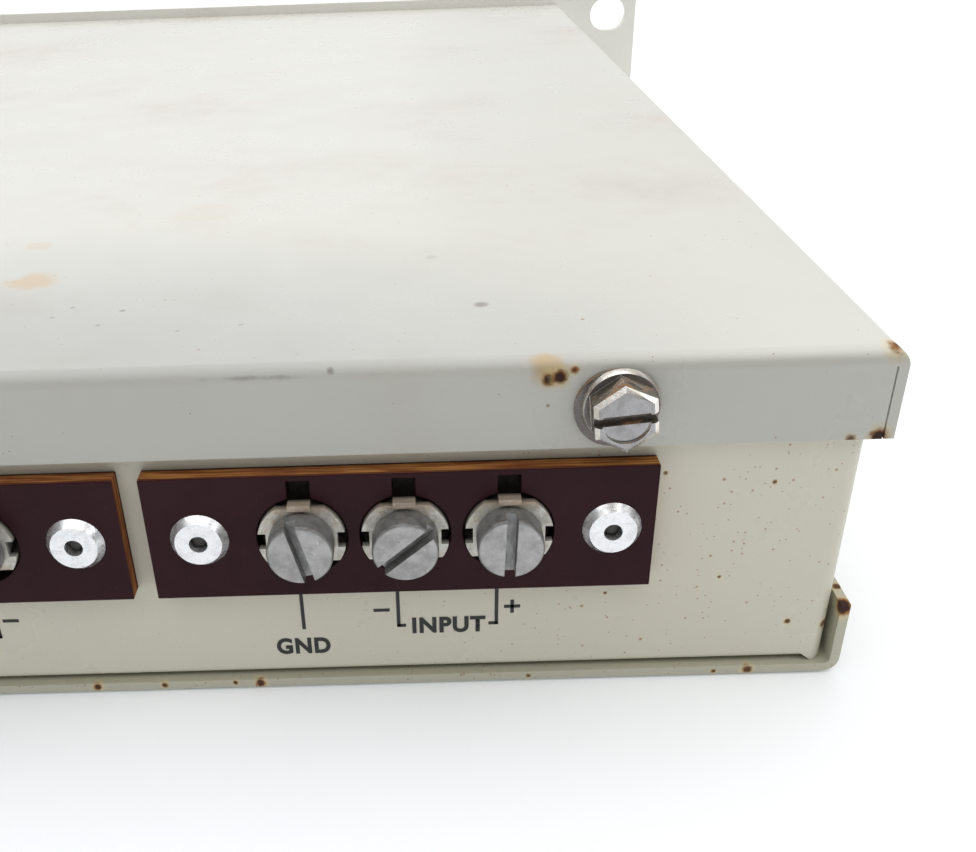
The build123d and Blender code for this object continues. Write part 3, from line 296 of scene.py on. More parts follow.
def phenolic(name):
    """Maroon paper laminate with a polished face, brown sawn edges, painted shade on the walls of its punched holes,
    and a painted shadow line where it meets the wall.
    """
    s = Shader(name, roughness=0.3, specular=0.12)
    face = s.ramp(s.facing("Y"), 0.6, 0.8)
    cloud = s.noise(110.0, 5.0, 0.65)
    front = s.mix(s.ramp(cloud, 0.3, 0.75), (0.0235, 0.0050, 0.0085), (0.0320, 0.0078, 0.0110))
    scratch = s.ramp(s.noise(900.0, 3.0, 0.7, s.scaled((1.0, 1.0, 0.10))), 0.68, 0.80)
    front = s.mix(s.times(scratch, 0.15), front, (0.13, 0.07, 0.07))
    dust = s.ramp(s.noise(3200.0, 2.0, 0.6), 0.74, 0.80)
    front = s.mix(s.times(dust, 0.3), front, (0.22, 0.18, 0.17))
    # paper plies show as lines along the sawn edge
    ply = s.ramp(s.noise(2600.0, 2.0, 0.5, s.scaled((0.05, 1.0, 0.05))), 0.4, 0.6)
    sawn = s.mix(ply, (0.19, 0.065, 0.018), (0.42, 0.19, 0.055))
    stain = s.ramp(s.noise(60.0, 4.0, 0.6, s.scaled((1.0, 0.1, 1.0))), 0.42, 0.62)
    sawn = s.mix(s.times(stain, 0.6), sawn, (0.14, 0.035, 0.016))
    # Two darker lines along the sawn edge: one near the polished face, and one where the board meets the rear wall,
    # which is a painted shadow.
    sawn = s.mix(s.times(s.band("Y", rear + 2.3 * MM, 0.25 * MM, 0.1 * MM), 0.8), sawn, (0.060, 0.018, 0.014))
    sawn = s.mix(s.times(s.band("Y", rear, 0.35 * MM, 0.15 * MM), 0.9), sawn, (0.030, 0.012, 0.010))
    # The walls of the punched holes are made nearly black: painted shade.
    for board in ("input_board", "output_board"):
        lo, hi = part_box(board)
        inner = s.times(
            s.band("X", (lo.x + hi.x) / 2, (hi.x - lo.x) / 2 - 2 * MM, 0.3 * MM),
            s.band("Z", (lo.z + hi.z) / 2, (hi.z - lo.z) / 2 - 0.4 * MM, 0.1 * MM),
        )
        sawn = s.mix(inner, sawn, (0.016, 0.006, 0.006))
    colour = s.mix(face, sawn, front)
    saw = s.noise(1900.0, 4.0, 0.7, s.scaled((1.0, 0.15, 1.0)))
    s.raise_by(s.times(saw, s.ramp(face, 0.0, 1.0, 1.0, 0.1)), 0.00005)
    return s.finish(colour, s.ramp(face, 0.0, 1.0, 0.85, 0.3))


def screw_head(name):
    """Dull nickel plate: a scuffed, dented face with bright scratches, and sides and slot darkened as painted shade
    and reflection.
    """
    s = Shader(name, roughness=0.45, metallic=0.55)
    face = s.ramp(s.facing("Y"), 0.75, 0.95)
    top = s.ramp(s.axis("Y"), rear + 4.9 * MM, rear + 5.9 * MM)
    blotch = s.ramp(s.noise(620.0, 5.0, 0.65), 0.35, 0.7)
    colour = s.mix(blotch, (0.44, 0.43, 0.425), (0.30, 0.295, 0.29))
    scratch = s.ramp(s.noise(1500.0, 3.0, 0.75, s.scaled((1.0, 1.0, 0.25)), 1.5), 0.63, 0.72)
    colour = s.mix(s.times(scratch, 0.7), colour, (0.80, 0.80, 0.79))
    pit = s.ramp(s.noise(1400.0, 4.0, 0.7), 0.66, 0.74)
    colour = s.mix(s.times(pit, 0.7), colour, (0.13, 0.12, 0.10))
    # The sides and slot walls take a mottled dark grey, and faces below the head's face, such as the slot floor, a
    # flat grey: painted shade and painted reflection.
    painted_shade = s.mix(s.ramp(s.noise(900.0, 5.0, 0.7), 0.4, 0.7), (0.20, 0.20, 0.19), (0.09, 0.085, 0.08))
    colour = s.mix(s.ramp(face, 0.0, 1.0, 0.85, 0.0), colour, painted_shade)
    colour = s.mix(s.times(face, s.ramp(top, 0.0, 1.0, 0.6, 0.0)), colour, (0.26, 0.26, 0.255))
    s.raise_by(s.noise(700.0, 3.0, 0.6), 0.00022)
    s.raise_by(scratch, 0.00003)
    rough = s.ramp(s.noise(800.0, 4.0, 0.6), 0.3, 0.7, 0.32, 0.55)
    return s.finish(colour, rough, s.ramp(face, 0.0, 1.0, 0.3, 0.6))


def hex_plate(name):
    """Old nickel plate on a slotted hex screw: dark flats and sides and bright bevels, as painted shade and painted
    highlight, sunk faces such as the slot floor darkened as painted shade, and brown rust at its rim.
    """
    s = Shader(name, roughness=0.25, metallic=1.0)
    lo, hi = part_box("lid_screws")
    flat = s.ramp(s.facing("Y"), 0.90, 0.99)
    sheer = s.ramp(s.facing("Y"), 0.45, 0.15)
    blotch = s.ramp(s.noise(500.0, 5.0, 0.7), 0.35, 0.7)
    # Bevels get a bright plate colour, flats and sides a dark one: painted highlight and painted shade.
    colour = s.mix(blotch, (0.92, 0.89, 0.84), (0.70, 0.64, 0.56))
    colour = s.mix(flat, colour, s.mix(blotch, (0.37, 0.36, 0.365), (0.27, 0.26, 0.255)))
    colour = s.mix(sheer, colour, s.mix(blotch, (0.36, 0.33, 0.28), (0.24, 0.21, 0.17)))
    # Flat faces sunk below the top, such as the slot floor, are darkened: painted shade.
    sunk = s.times(flat, s.ramp(s.axis("Y"), hi.y - 0.5 * MM, hi.y - 0.8 * MM))
    dirt_and_shade = s.mix(s.noise(900.0, 4.0, 0.6), (0.035, 0.025, 0.025), (0.16, 0.13, 0.11))
    colour = s.mix(s.times(sunk, 0.8), colour, dirt_and_shade)
    washer = s.ramp(s.axis("Y"), lo.y + 3.2 * MM, lo.y + 2.9 * MM)
    pit = s.ramp(s.noise(1500.0, 4.0, 0.7), 0.66, 0.73)
    colour = s.mix(s.times(pit, 0.6), colour, (0.09, 0.07, 0.06))
    crust = s.ramp(s.noise(520.0, 5.0, 0.72), 0.50, 0.60)
    crust = s.times(crust, s.most(sheer, s.times(washer, 0.3)))
    brown = s.mix(s.noise(2200.0, 3.0, 0.7), (0.10, 0.035, 0.015), (0.42, 0.21, 0.07))
    colour = s.mix(s.times(crust, 0.85), colour, brown)
    s.raise_by(s.noise(1100.0, 4.0, 0.6), 0.00003)
    s.raise_by(pit, 0.00005)
    rough = s.most(s.ramp(blotch, 0.0, 1.0, 0.16, 0.34), s.times(crust, 0.85))
    return s.finish(colour, rough, s.ramp(s.most(crust, s.times(sunk, 0.6)), 0.0, 1.0, 0.9, 0.15))


def clamp_plate(name):
    """Old tin plate on brass: pale rim with dark pits, an olive tinge, and a brown tab at the top."""
    s = Shader(name, roughness=0.42, metallic=0.5)
    blotch = s.ramp(s.noise(800.0, 5.0, 0.65), 0.35, 0.7)
    colour = s.mix(blotch, (0.62, 0.60, 0.55), (0.45, 0.43, 0.38))
    olive = s.ramp(s.noise(480.0, 4.0, 0.7), 0.52, 0.68)
    colour = s.mix(s.times(olive, 0.6), colour, (0.44, 0.37, 0.22))
    high = s.ramp(s.axis("Z"), 0.0252, 0.0260)
    colour = s.mix(s.times(high, 0.65), colour, (0.50, 0.36, 0.25))
    pit = s.ramp(s.noise(1900.0, 3.0, 0.7), 0.66, 0.72)
    colour = s.mix(s.times(pit, 0.85), colour, (0.05, 0.045, 0.04))
    # Faces nearer the wall than the rim, in the dish, are darkened: painted shade.
    dish_shade = s.ramp(s.axis("Y"), rear + 2.75 * MM, rear + 2.2 * MM)
    colour = s.mix(s.times(dish_shade, 0.8), colour, (0.10, 0.095, 0.085))
    s.raise_by(s.noise(900.0, 4.0, 0.65), 0.00018)
    return s.finish(colour, s.ramp(blotch, 0.0, 1.0, 0.36, 0.55), s.ramp(pit, 0.0, 1.0, 0.5, 0.1))


CREAM = (0.735, 0.725, 0.667)
top_z = lid_hi.z
ROUND = (1.0, 1.0, 1.0)
cream_lid = cream_paint(
    "enamel_lid", CREAM,
    spots=(
        ((from_side(34.05), lid_hi.y - 0.0002, top_z - 0.0020), 0.00070, 1.0),
        ((from_side(32.95), lid_hi.y - 0.0002, top_z - 0.0018), 0.00075, 1.0),
        ((from_side(31.5), lid_hi.y - 0.0004, top_z - 0.0012), 0.00042, 1.0),
        ((from_side(-0.7), 0.1397, top_z - 0.0008), 0.0010, 1.0),
        ((from_side(-1.7), 0.1370, top_z - 0.0008), 0.0006, 0.8),
        ((from_side(-0.3), 0.1411, lid_lo.z + 0.0003), 0.0009, 1.0),
        ((from_side(2.6), 0.1411, lid_lo.z + 0.0001), 0.0005, 0.7),
        ((from_side(-1.6), 0.1211, top_z - 0.0004), 0.0005, 0.6),
    ),
    stains=(
        ((from_side(93.8), 0.1126, top_z), 0.0028, 0.75, ),
        ((from_side(97.0), 0.098, top_z), 0.0016, 0.3),
        ((from_side(34.0), lid_hi.y - 0.0004, top_z - 0.0010), 0.0017, 0.9),
        ((from_side(77.0), 0.085, top_z), 0.004, 0.12),
    ),
    smudge=(
        ((from_side(39.9), 0.1251, top_z), 0.0008, 0.75, ROUND),
        ((from_side(55.9), 0.1405, top_z - 0.0008), 0.00045, 0.85, ROUND),
        ((from_side(60.5), 0.1408, top_z - 0.0011), 0.0003, 0.55, (0.12, 1.0, 1.0)),
        ((from_side(64.5), 0.1408, top_z - 0.0011), 0.0003, 0.6, (0.10, 1.0, 1.0)),
        ((from_side(69.0), 0.1408, top_z - 0.0011), 0.00025, 0.4, (0.15, 1.0, 1.0)),
        ((from_side(45.0), 0.108, top_z), 0.0006, 0.25, ROUND),
        ((from_side(80.4), 0.1235, top_z), 0.00035, 0.7, ROUND),
        ((from_side(82.2), 0.1278, top_z), 0.00028, 0.6, ROUND),
        ((from_side(86.5), 0.1220, top_z), 0.0003, 0.6, ROUND),
        ((from_side(88.0), 0.1250, top_z), 0.00025, 0.6, ROUND),
        ((from_side(73.0), 0.1302, top_z), 0.00025, 0.5, ROUND),
        ((from_side(66.3), 0.1290, top_z), 0.0003, 0.4, ROUND),
    ),
    # Painted shade: a soft darker patch on the top near the rear edge, and the rear flange's faces multiplied darker.
    painted_shade=((from_side(88.0), 0.150, top_z), 0.045, (0.71, 0.72, 0.735), (0.75, 1.12, 1.0)),
    speck=0.035, mottling=0.36, tint_and_shade=(0.1400, 0.1411, (0.675, 0.675, 0.668)),
)
# The rear wall and the bottom cover take darker bases than the lid, though all are the same cream enamel: painted
# shade.
cream_wall = cream_paint(
    "enamel_wall", (0.650, 0.622, 0.517),
    spots=(
        ((from_side(0.5), rear - 0.0004, 0.0062), 0.0006, 0.7),
        ((from_side(5.0), rear, 0.0070), 0.00035, 0.8),
        ((from_side(21.0), rear, 0.0273), 0.00022, 0.6),
        ((from_side(9.2), rear, 0.0258), 0.00025, 0.7),
        ((from_side(13.7), rear, 0.0136), 0.00020, 0.7),
        ((from_side(26.5), rear, 0.0118), 0.00018, 0.7),
    ),
    speck=0.34, mottling=0.05, speck_from=(from_side(24.0), from_side(60.0)),
)
cream_cover = cream_paint(
    "enamel_cover", (0.50, 0.485, 0.385),
    spots=(
        ((from_side(-0.9), 0.1404, 0.0092), 0.0011, 1.0),
        ((from_side(-1.3), 0.1370, 0.0096), 0.0006, 0.8),
        ((from_side(9.0), 0.1406, 0.0005), 0.0006, 0.8),
        ((from_side(13.0), 0.1406, 0.0004), 0.0003, 0.8),
        ((from_side(35.0), 0.1406, 0.0005), 0.0003, 0.7),
        ((from_side(67.0), 0.1406, 0.0005), 0.0006, 0.9),
        ((from_side(70.0), 0.1406, 0.0007), 0.0003, 0.9),
        ((from_side(78.5), 0.1406, 0.0006), 0.0004, 0.8),
        ((from_side(86.5), 0.1406, 0.0006), 0.0005, 0.9),
    ),
    speck=0.45, mottling=0.12,
)
# The front panel takes a lighter base than the lid, as painted light, and its front face is multiplied darker again,
# as painted shade.
cream_panel = cream_paint("enamel_panel", (0.900, 0.890, 0.830), speck=0.020, mottling=0.12,
                          tint_and_shade=(panel_lo.y + 0.0015, panel_lo.y + 0.0005, (0.78, 0.78, 0.77)))

screw_steel = screw_head("screw_steel")
clamp_tin = clamp_plate("clamp_tin")
# The lugs' brass is made nearly black, so that it reads as the shade inside the terminal openings: painted shade.
shaded_lug_brass = metal("shaded_lug_brass", (0.050, 0.042, 0.030), (0.012, 0.010, 0.008), 0.7, tint_and_shade=(0.045, 0.032, 0.018), dirt_and_shade=0.8,
                  metallic=0.3)
rivet_metal = metal("rivet_metal", (0.86, 0.86, 0.87), (0.55, 0.55, 0.55), 0.26, dirt_and_shade=0.3, metallic=0.9, scale=300.0)
plated_screw = metal("plated_screw", (0.60, 0.575, 0.53), (0.42, 0.38, 0.31), 0.20, dirt_and_shade=0.35, rust=0.22,
                     metallic=1.0, dirt_scale=420.0, tint_and_shade=(0.50, 0.40, 0.27), bump=0.00002)
hex_nickel = hex_plate("hex_nickel")
zinc = metal("zinc", (0.58, 0.60, 0.61), (0.32, 0.34, 0.35), 0.34, dirt_and_shade=0.5)
black_oxide = metal("black_oxide", (0.035, 0.035, 0.037), (0.012, 0.012, 0.013), 0.42, dirt_and_shade=0.6, metallic=0.7)
pin_metal = metal("pin_metal", (0.74, 0.66, 0.44), (0.40, 0.33, 0.18), 0.25, dirt_and_shade=0.3)
spun_metal = metal("spun_metal", (0.74, 0.74, 0.75), (0.55, 0.55, 0.56), 0.24, (1.0, 0.2, 1.0), 900.0, dirt_and_shade=0.25)
shaft_metal = metal("shaft_metal", (0.55, 0.55, 0.55), (0.33, 0.33, 0.33), 0.34, dirt_and_shade=0.4)
maroon_board = phenolic("maroon_board")
black_plastic = moulded("black_plastic", (0.018, 0.018, 0.019), (0.075, 0.072, 0.066), 0.46)
inlet_plastic = moulded("inlet_plastic", (0.014, 0.014, 0.015), (0.06, 0.058, 0.054), 0.36)
red_plastic = moulded("red_plastic", (0.40, 0.030, 0.022), (0.50, 0.13, 0.10), 0.32)
component = moulded("component", (0.022, 0.022, 0.024), (0.05, 0.05, 0.05), 0.4)
core_iron = metal("core_iron", (0.14, 0.14, 0.15), (0.05, 0.045, 0.04), 0.5, (1.0, 1.0, 14.0), 700.0, rust=0.15)
tape = moulded("tape", (0.62, 0.44, 0.07), (0.70, 0.56, 0.20), 0.38)


def board_green(name):
    """Green solder mask over a grid of copper tracks."""
    s = Shader(name, roughness=0.35)
    grid = s.cells(260.0, s.scaled((1.0, 0.28, 1.0)), "DISTANCE_TO_EDGE")
    track = s.ramp(grid.outputs["Distance"], 0.10, 0.04)
    colour = s.mix(track, (0.020, 0.085, 0.035), (0.050, 0.160, 0.060))
    s.raise_by(track, 0.00004)
    return s.finish(colour, s.ramp(s.noise(300.0), 0.3, 0.7, 0.28, 0.42))


def lens_red(name):
    """Diffused red lamp plastic, a little darker inside."""
    s = Shader(name, roughness=0.18)
    depth = s.ramp(s.noise(800.0, 3.0, 0.5), 0.3, 0.7)
    s.bsdf.inputs["Transmission Weight"].default_value = 0.25
    s.bsdf.inputs["IOR"].default_value = 1.49
    return s.finish(s.mix(depth, (0.42, 0.012, 0.010), (0.58, 0.030, 0.020)), s.ramp(depth, 0.0, 1.0, 0.14, 0.26))


def glass_fuse(name):
    """Fuse glass between two plated end caps."""
    s = Shader(name, roughness=0.1)
    lo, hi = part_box("fuse")
    middle = (lo.y + hi.y) / 2
    glass = s.band("Y", middle, 0.0045, 0.0002)
    s.bsdf.inputs["IOR"].default_value = 1.5
    colour = s.mix(glass, (0.62, 0.60, 0.55), (0.80, 0.84, 0.83))
    return s.finish(colour, s.ramp(glass, 0.0, 1.0, 0.3, 0.08), s.ramp(glass, 0.0, 1.0, 1.0, 0.0))


laminate = board_green("laminate")
lamp_red = lens_red("lamp_red")
fuse_clear = glass_fuse("fuse_clear")

finishes = {
    "cream_paint": cream_panel, "nickel_screw": plated_screw, "zinc_fastener": zinc, "black_screw": black_oxide,
    "rivet_aluminium": rivet_metal, "phenolic": maroon_board, "tinned_brass": clamp_tin, "terminal_steel": screw_steel,
    "black_plastic": black_plastic, "pin_brass": pin_metal, "knob_cap_metal": spun_metal, "shaft_steel": shaft_metal,
    "button_plastic": red_plastic, "lens": lamp_red, "fuse_glass": fuse_clear, "board_laminate": laminate,
    "component_plastic": component, "core_steel": core_iron, "winding_tape": tape,
}
own = {
    "lid": cream_lid, "chassis_wrap": cream_wall, "bottom_cover": cream_cover, "terminal_lugs": shaded_lug_brass,
    "inlet_housing": inlet_plastic, "lid_screws": hex_nickel, "lid_washers": hex_nickel,
}
slot_of = {part["node"]: part["material_slot"] for part in frame["record"]["subparts"]}


def paint(obj, material):
    """Puts one material in every slot of an object."""
    if not obj.material_slots:
        obj.data.materials.append(material)
    for s in obj.material_slots:
        s.material = material


for name, obj in nodes.items():
    paint(obj, own.get(name, finishes[slot_of[name]]))

# Fine rounding along the CAD parts' edges, so that they catch the light as pressed and turned metal does
rounding = {
    "front_panel": 0.3, "inlet_housing": 0.3, "input_board": 0.12, "output_board": 0.12, "lid_screws": 0.12,
    "cover_screws": 0.12, "rocker_housing": 0.2, "power_rocker": 0.2, "inlet_pins": 0.15, "fuse_holder": 0.15,
}
for name in nodes:
    if name.endswith("_clamp"):
        rounding[name] = 0.1
    if name.endswith("_screw"):
        rounding[name] = 0.1
for name, radius in rounding.items():
    obj = nodes[name]
    join = obj.modifiers.new("join", "WELD")
    join.merge_threshold = 1e-6
    edge = obj.modifiers.new("round", "BEVEL")
    edge.width = radius * MM
    edge.segments = 2
    edge.limit_method = "ANGLE"
    edge.angle_limit = radians(40)
    edge.use_clamp_overlap = True
    edge.harden_normals = False


# ---------------------------------------------------------------- pieces
def keep_mesh(name, mesh, material, body):
    obj = bpy.data.objects.new(name, mesh)
    bpy.context.scene.collection.objects.link(obj)
    paint(obj, material)
    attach(obj, body)
    return obj


def ink(name):
    """Black screen-printed ink, thin in places."""
    s = Shader(name, roughness=0.5)
    worn = s.ramp(s.noise(1700.0, 4.0, 0.7), 0.62, 0.80)
    colour = s.mix(s.times(worn, 0.35), (0.012, 0.012, 0.013), (0.30, 0.29, 0.26))
    return s.finish(colour, s.ramp(worn, 0.0, 1.0, 0.45, 0.6))


def pale_ink(name):
    """Grey-black panel ink for scale marks."""
    s = Shader(name, roughness=0.5)
    worn = s.ramp(s.noise(900.0, 4.0, 0.7), 0.6, 0.8)
    return s.finish(s.mix(s.times(worn, 0.3), (0.03, 0.03, 0.032), (0.25, 0.24, 0.22)), 0.5)


black_ink = ink("black_ink")
panel_ink = pale_ink("panel_ink")
INK_LIFT = 0.00004
# Distances on the dials and legends, in millimetres
TICK_ENDS = (11.0, 13.0)
TICK_WIDTH = 0.45
NUMBER_RADIUS = 15.2
NUMBER_HEIGHT = 2.0
LINE_WIDTH = 0.42
BOARD_PITCH = 57.85


def rear_point(u, z, lift=INK_LIFT):
    """A point on the rear wall: u metres along X, z up."""
    return Vector((u, rear + lift, z))


def stroke(bm, a, b, width):
    """A straight inked bar between two points on the rear wall."""
    a, b = Vector((a[0], a[1])), Vector((b[0], b[1]))
    along = (b - a).normalized()
    across = Vector((-along.y, along.x)) * width / 2
    ring = [a + across, b + across, b - across, a - across]
    top = [bm.verts.new(rear_point(p.x, p.y)) for p in ring]
    low = [bm.verts.new(rear_point(p.x, p.y, -INK_LIFT)) for p in ring]
    bm.faces.new(top)
    for i in range(4):
        j = (i + 1) % 4
        bm.faces.new((top[i], low[i], low[j], top[j]))


def letters(name, text, left_x, right_x, low_z, high_z, body="chassis"):
    """Generic block letters as a mesh, between two X values and two heights on the rear wall."""
    curve = bpy.data.curves.new(name + "_curve", "FONT")
    curve.body = text
    curve.size = 1.0
    curve.offset = 0.042
    curve.space_character = 1.12
    curve.extrude = 0.0
    curve.resolution_u = 6
    temp = bpy.data.objects.new(name + "_temp", curve)
    bpy.context.scene.collection.objects.link(temp)
    bpy.context.view_layer.update()
    mesh = bpy.data.meshes.new_from_object(temp)
    bpy.data.objects.remove(temp)
    xs = [v.co.x for v in mesh.vertices]
    ys = [v.co.y for v in mesh.vertices]
    x0, x1, y0, y1 = min(xs), max(xs), min(ys), max(ys)
    for v in mesh.vertices:
        u = left_x + (v.co.x - x0) / (x1 - x0) * (right_x - left_x)
        z = low_z + (v.co.y - y0) / (y1 - y0) * (high_z - low_z)
        v.co = rear_point(u, z)
    mesh.materials.clear()
    return keep_mesh(name, mesh, black_ink, body)


def finish_bmesh(bm):
    bmesh.ops.recalc_face_normals(bm, faces=bm.faces)
    mesh = bpy.data.meshes.new("marks")
    bm.to_mesh(mesh)
    bm.free()
    return mesh


# Terminal legends on the rear wall: polarity signs, bracket lines and generic words.
# Distances are in from the -X side, so the row reads left to right from behind.
board_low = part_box("input_board")[0].z
LABEL_SHIFT = 0.55
marks = bmesh.new()
for shift, words in ((0.0, "input"), (BOARD_PITCH, "output")):
    at = lambda d: from_side(d + shift + LABEL_SHIFT)
    line = LINE_WIDTH * MM
    stroke(marks, (at(60.68), board_low - 0.3 * MM), (at(60.68), 7.85 * MM), line)
    left_foot, left_end, right_foot, right_end = 49.65, 48.82, 38.33, 39.24
    minus, plus = (51.57, 36.53) if words == "input" else (36.63, 51.57)
    stroke(marks, (at(left_foot), board_low - 0.3 * MM), (at(left_foot), 7.84 * MM), line)
    stroke(marks, (at(left_foot + 0.21), 8.0 * MM), (at(left_end), 8.0 * MM), line)
    stroke(marks, (at(right_foot), board_low - 0.3 * MM), (at(right_foot), 7.84 * MM), line)
    stroke(marks, (at(right_foot - 0.21), 8.0 * MM), (at(right_end), 8.0 * MM), line)
    stroke(marks, (at(minus + 0.93), 10.27 * MM), (at(minus - 0.93), 10.27 * MM), line)
    stroke(marks, (at(plus + 0.93), 10.31 * MM), (at(plus - 0.93), 10.31 * MM), line)
    stroke(marks, (at(plus), 9.38 * MM), (at(plus), 11.24 * MM), line)
keep_mesh("terminal_lines", finish_bmesh(marks), black_ink, "chassis")
for name, text, left, right, low, high in (
    ("ground_word_a", "GND", 64.11, 57.78, 4.25, 6.62),
    ("input_word", "INPUT", 48.11, 39.59, 6.78, 9.08),
    ("ground_word_b", "GND", 64.11 + BOARD_PITCH, 57.78 + BOARD_PITCH, 4.25, 6.62),
    ("output_word", "OUTPUT", 48.6 + BOARD_PITCH, 39.3 + BOARD_PITCH, 6.78, 9.08),
):
    letters(name, text, from_side(left + LABEL_SHIFT), from_side(right + LABEL_SHIFT), low * MM, high * MM)


def scale_ring(name, knob, divisions=11):
    """Dial ticks and numbers 0 to 10 round a knob on the front panel."""
    lo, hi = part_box(knob)
    cx, cz = (lo.x + hi.x) / 2, (lo.z + hi.z) / 2
    face = panel_lo.y - INK_LIFT
    bm = bmesh.new()
    for i in range(divisions):
        turn = radians(-150 + 300 * i / (divisions - 1))
        a, b = (Vector((cx + r * MM * sin(turn), cz + r * MM * cos(turn))) for r in TICK_ENDS)
        across = Vector((-(b - a).normalized().y, (b - a).normalized().x)) * TICK_WIDTH * MM / 2
        corners = (a - across, b - across, b + across, a + across)
        bm.faces.new([bm.verts.new((p.x, face, p.y)) for p in corners])
    return keep_mesh(name, finish_bmesh(bm), panel_ink, "chassis")


def numeral(name, text, cx, cz, height):
    """A generic dial number on the front panel."""
    curve = bpy.data.curves.new(name + "_curve", "FONT")
    curve.body = text
    curve.align_x = "CENTER"
    curve.size = 1.0
    curve.offset = 0.012
    temp = bpy.data.objects.new(name + "_temp", curve)
    bpy.context.scene.collection.objects.link(temp)
    bpy.context.view_layer.update()
    mesh = bpy.data.meshes.new_from_object(temp)
    bpy.data.objects.remove(temp)
    ys = [v.co.y for v in mesh.vertices]
    xs = [v.co.x for v in mesh.vertices]
    mid, low, tall = (min(xs) + max(xs)) / 2, min(ys), max(ys) - min(ys)
    for v in mesh.vertices:
        x, y = (v.co.x - mid) * height / tall, (v.co.y - low) * height / tall - height / 2
        v.co = Vector((cx + x, panel_lo.y - INK_LIFT, cz + y))
    mesh.materials.clear()
    return keep_mesh(name, mesh, panel_ink, "chassis")


for knob_name in ("input", "effect", "output"):
    scale_ring(knob_name + "_scale", knob_name + "_knob")
    lo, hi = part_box(knob_name + "_knob")
    cx, cz = (lo.x + hi.x) / 2, (lo.z + hi.z) / 2
    for i in (0, 2, 4, 6, 8, 10):
        turn = radians(-150 + 30 * i)
        u, w = cx + NUMBER_RADIUS * MM * sin(turn), cz + NUMBER_RADIUS * MM * cos(turn)
        numeral("%s_number_%d" % (knob_name, i), str(i), u, w, NUMBER_HEIGHT * MM)
    # pointer line let into the cap, along the knob's zero
    bm = bmesh.new()
    half, near, far, y = 0.45 * MM, 1.6 * MM, 6.2 * MM, lo.y + 0.00001
    corners = [(-half, near), (half, near), (half, far), (-half, far)]
    bm.faces.new([bm.verts.new((cx + u, y - 0.00001, cz + w)) for u, w in corners])
    keep_mesh(knob_name + "_pointer", finish_bmesh(bm), panel_ink, knob_name + "_control")


def dome(name, centre, radius, height, axis, material, body="chassis"):
    """The broken mandrel stub at the bottom of a blind rivet's bore, lathed."""
    bm = bmesh.new()
    profile = [(0.0, height), (radius * 0.45, height * 0.98), (radius * 0.8, height * 0.75), (radius, height * 0.25),
               (radius, 0.0)]
    count = 20
    rings = []
    for r, h in profile:
        ring = []
        for k in range(count if r else 1):
            a = 2 * pi * k / count
            ring.append(bm.verts.new((r * cos(a), r * sin(a), h)))
        rings.append(ring)
    for a, b in zip(rings, rings[1:]):
        for k in range(count):
            j = (k + 1) % count
            if len(a) == 1:
                bm.faces.new((a[0], b[k], b[j]))
            else:
                bm.faces.new((a[k], b[k], b[j], a[j]))
    turn = Vector(axis).to_track_quat("Z", "Y").to_matrix().to_4x4()
    bmesh.ops.transform(bm, matrix=Matrix.Translation(Vector(centre)) @ turn, verts=bm.verts)
    bmesh.ops.recalc_face_normals(bm, faces=bm.faces)
    mesh = bpy.data.meshes.new(name)
    bm.to_mesh(mesh)
    bm.free()
    for p in mesh.polygons:
        p.use_smooth = True
    return keep_mesh(name, mesh, material, body)


stub = metal("stub_steel", (0.10, 0.095, 0.09), (0.03, 0.028, 0.026), 0.6, dirt_and_shade=0.6, metallic=0.6)
rivet_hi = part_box("board_rivets")[1]
for i, d in enumerate((26.78, 71.22, 26.78 + BOARD_PITCH, 71.22 + BOARD_PITCH)):
    dome("mandrel_%d" % i, (from_side(d), rivet_hi.y - 0.0013, 0.022), 0.00092, 0.0005, (0, 1, 0), stub)

# ---------------------------------------------------------------- floor, light, world, camera
def floor_paper(name):
    """Seamless pale backdrop paper."""
    s = Shader(name, roughness=0.75, specular=0.2)
    shade = s.ramp(s.noise(3.0, 4.0, 0.5), 0.3, 0.7)
    s.raise_by(s.noise(120.0, 4.0, 0.6), 0.0001)
    s.bsdf.inputs["Emission Color"].default_value = (0.80, 0.93, 1.0, 1.0)
    s.bsdf.inputs["Emission Strength"].default_value = 0.12
    return s.finish(s.mix(shade, (0.955, 0.965, 0.985), (0.975, 0.98, 0.99)), 0.75)


bm = bmesh.new()
reach = 40.0
FLOOR_HEIGHT = -0.0004
floor_corners = ((-reach, -reach), (reach, -reach), (reach, reach), (-reach, reach))
bm.faces.new([bm.verts.new((x, y, FLOOR_HEIGHT)) for x, y in floor_corners])
floor_mesh = bpy.data.meshes.new("floor")
bm.to_mesh(floor_mesh)
bm.free()
floor = bpy.data.objects.new("floor", floor_mesh)
bpy.context.scene.collection.objects.link(floor)
paint(floor, floor_paper("backdrop"))


def area_light(name, centre, target, size, size_y, watts, colour=(1.0, 1.0, 1.0)):
    data = bpy.data.lights.new(name, "AREA")
    data.shape = "RECTANGLE"
    data.size, data.size_y = size, size_y
    data.energy = watts
    data.color = colour
    lamp = bpy.data.objects.new(name, data)
    bpy.context.scene.collection.objects.link(lamp)
    lamp.location = Vector(centre)
    lamp.rotation_mode = "QUATERNION"
    lamp.rotation_quaternion = (Vector(target) - Vector(centre)).to_track_quat("-Z", "Y")
    return lamp


soft_sun = bpy.data.lights.new("soft_sun", "SUN")
soft_sun.energy = 1.55
soft_sun.angle = radians(80)
soft_sun.color = (1.0, 0.995, 0.985)
sun = bpy.data.objects.new("soft_sun", soft_sun)
bpy.context.scene.collection.objects.link(sun)
sun.rotation_euler = (radians(-6), radians(4), 0.0)
area_light("window", (-1.5, 0.7, 0.9), (-0.15, 0.1, 0.03), 1.0, 0.7, 3.5)
area_light("front_fill", (0.5, -1.7, 0.9), (0.0, -0.1, 0.02), 1.6, 1.2, 2.0)

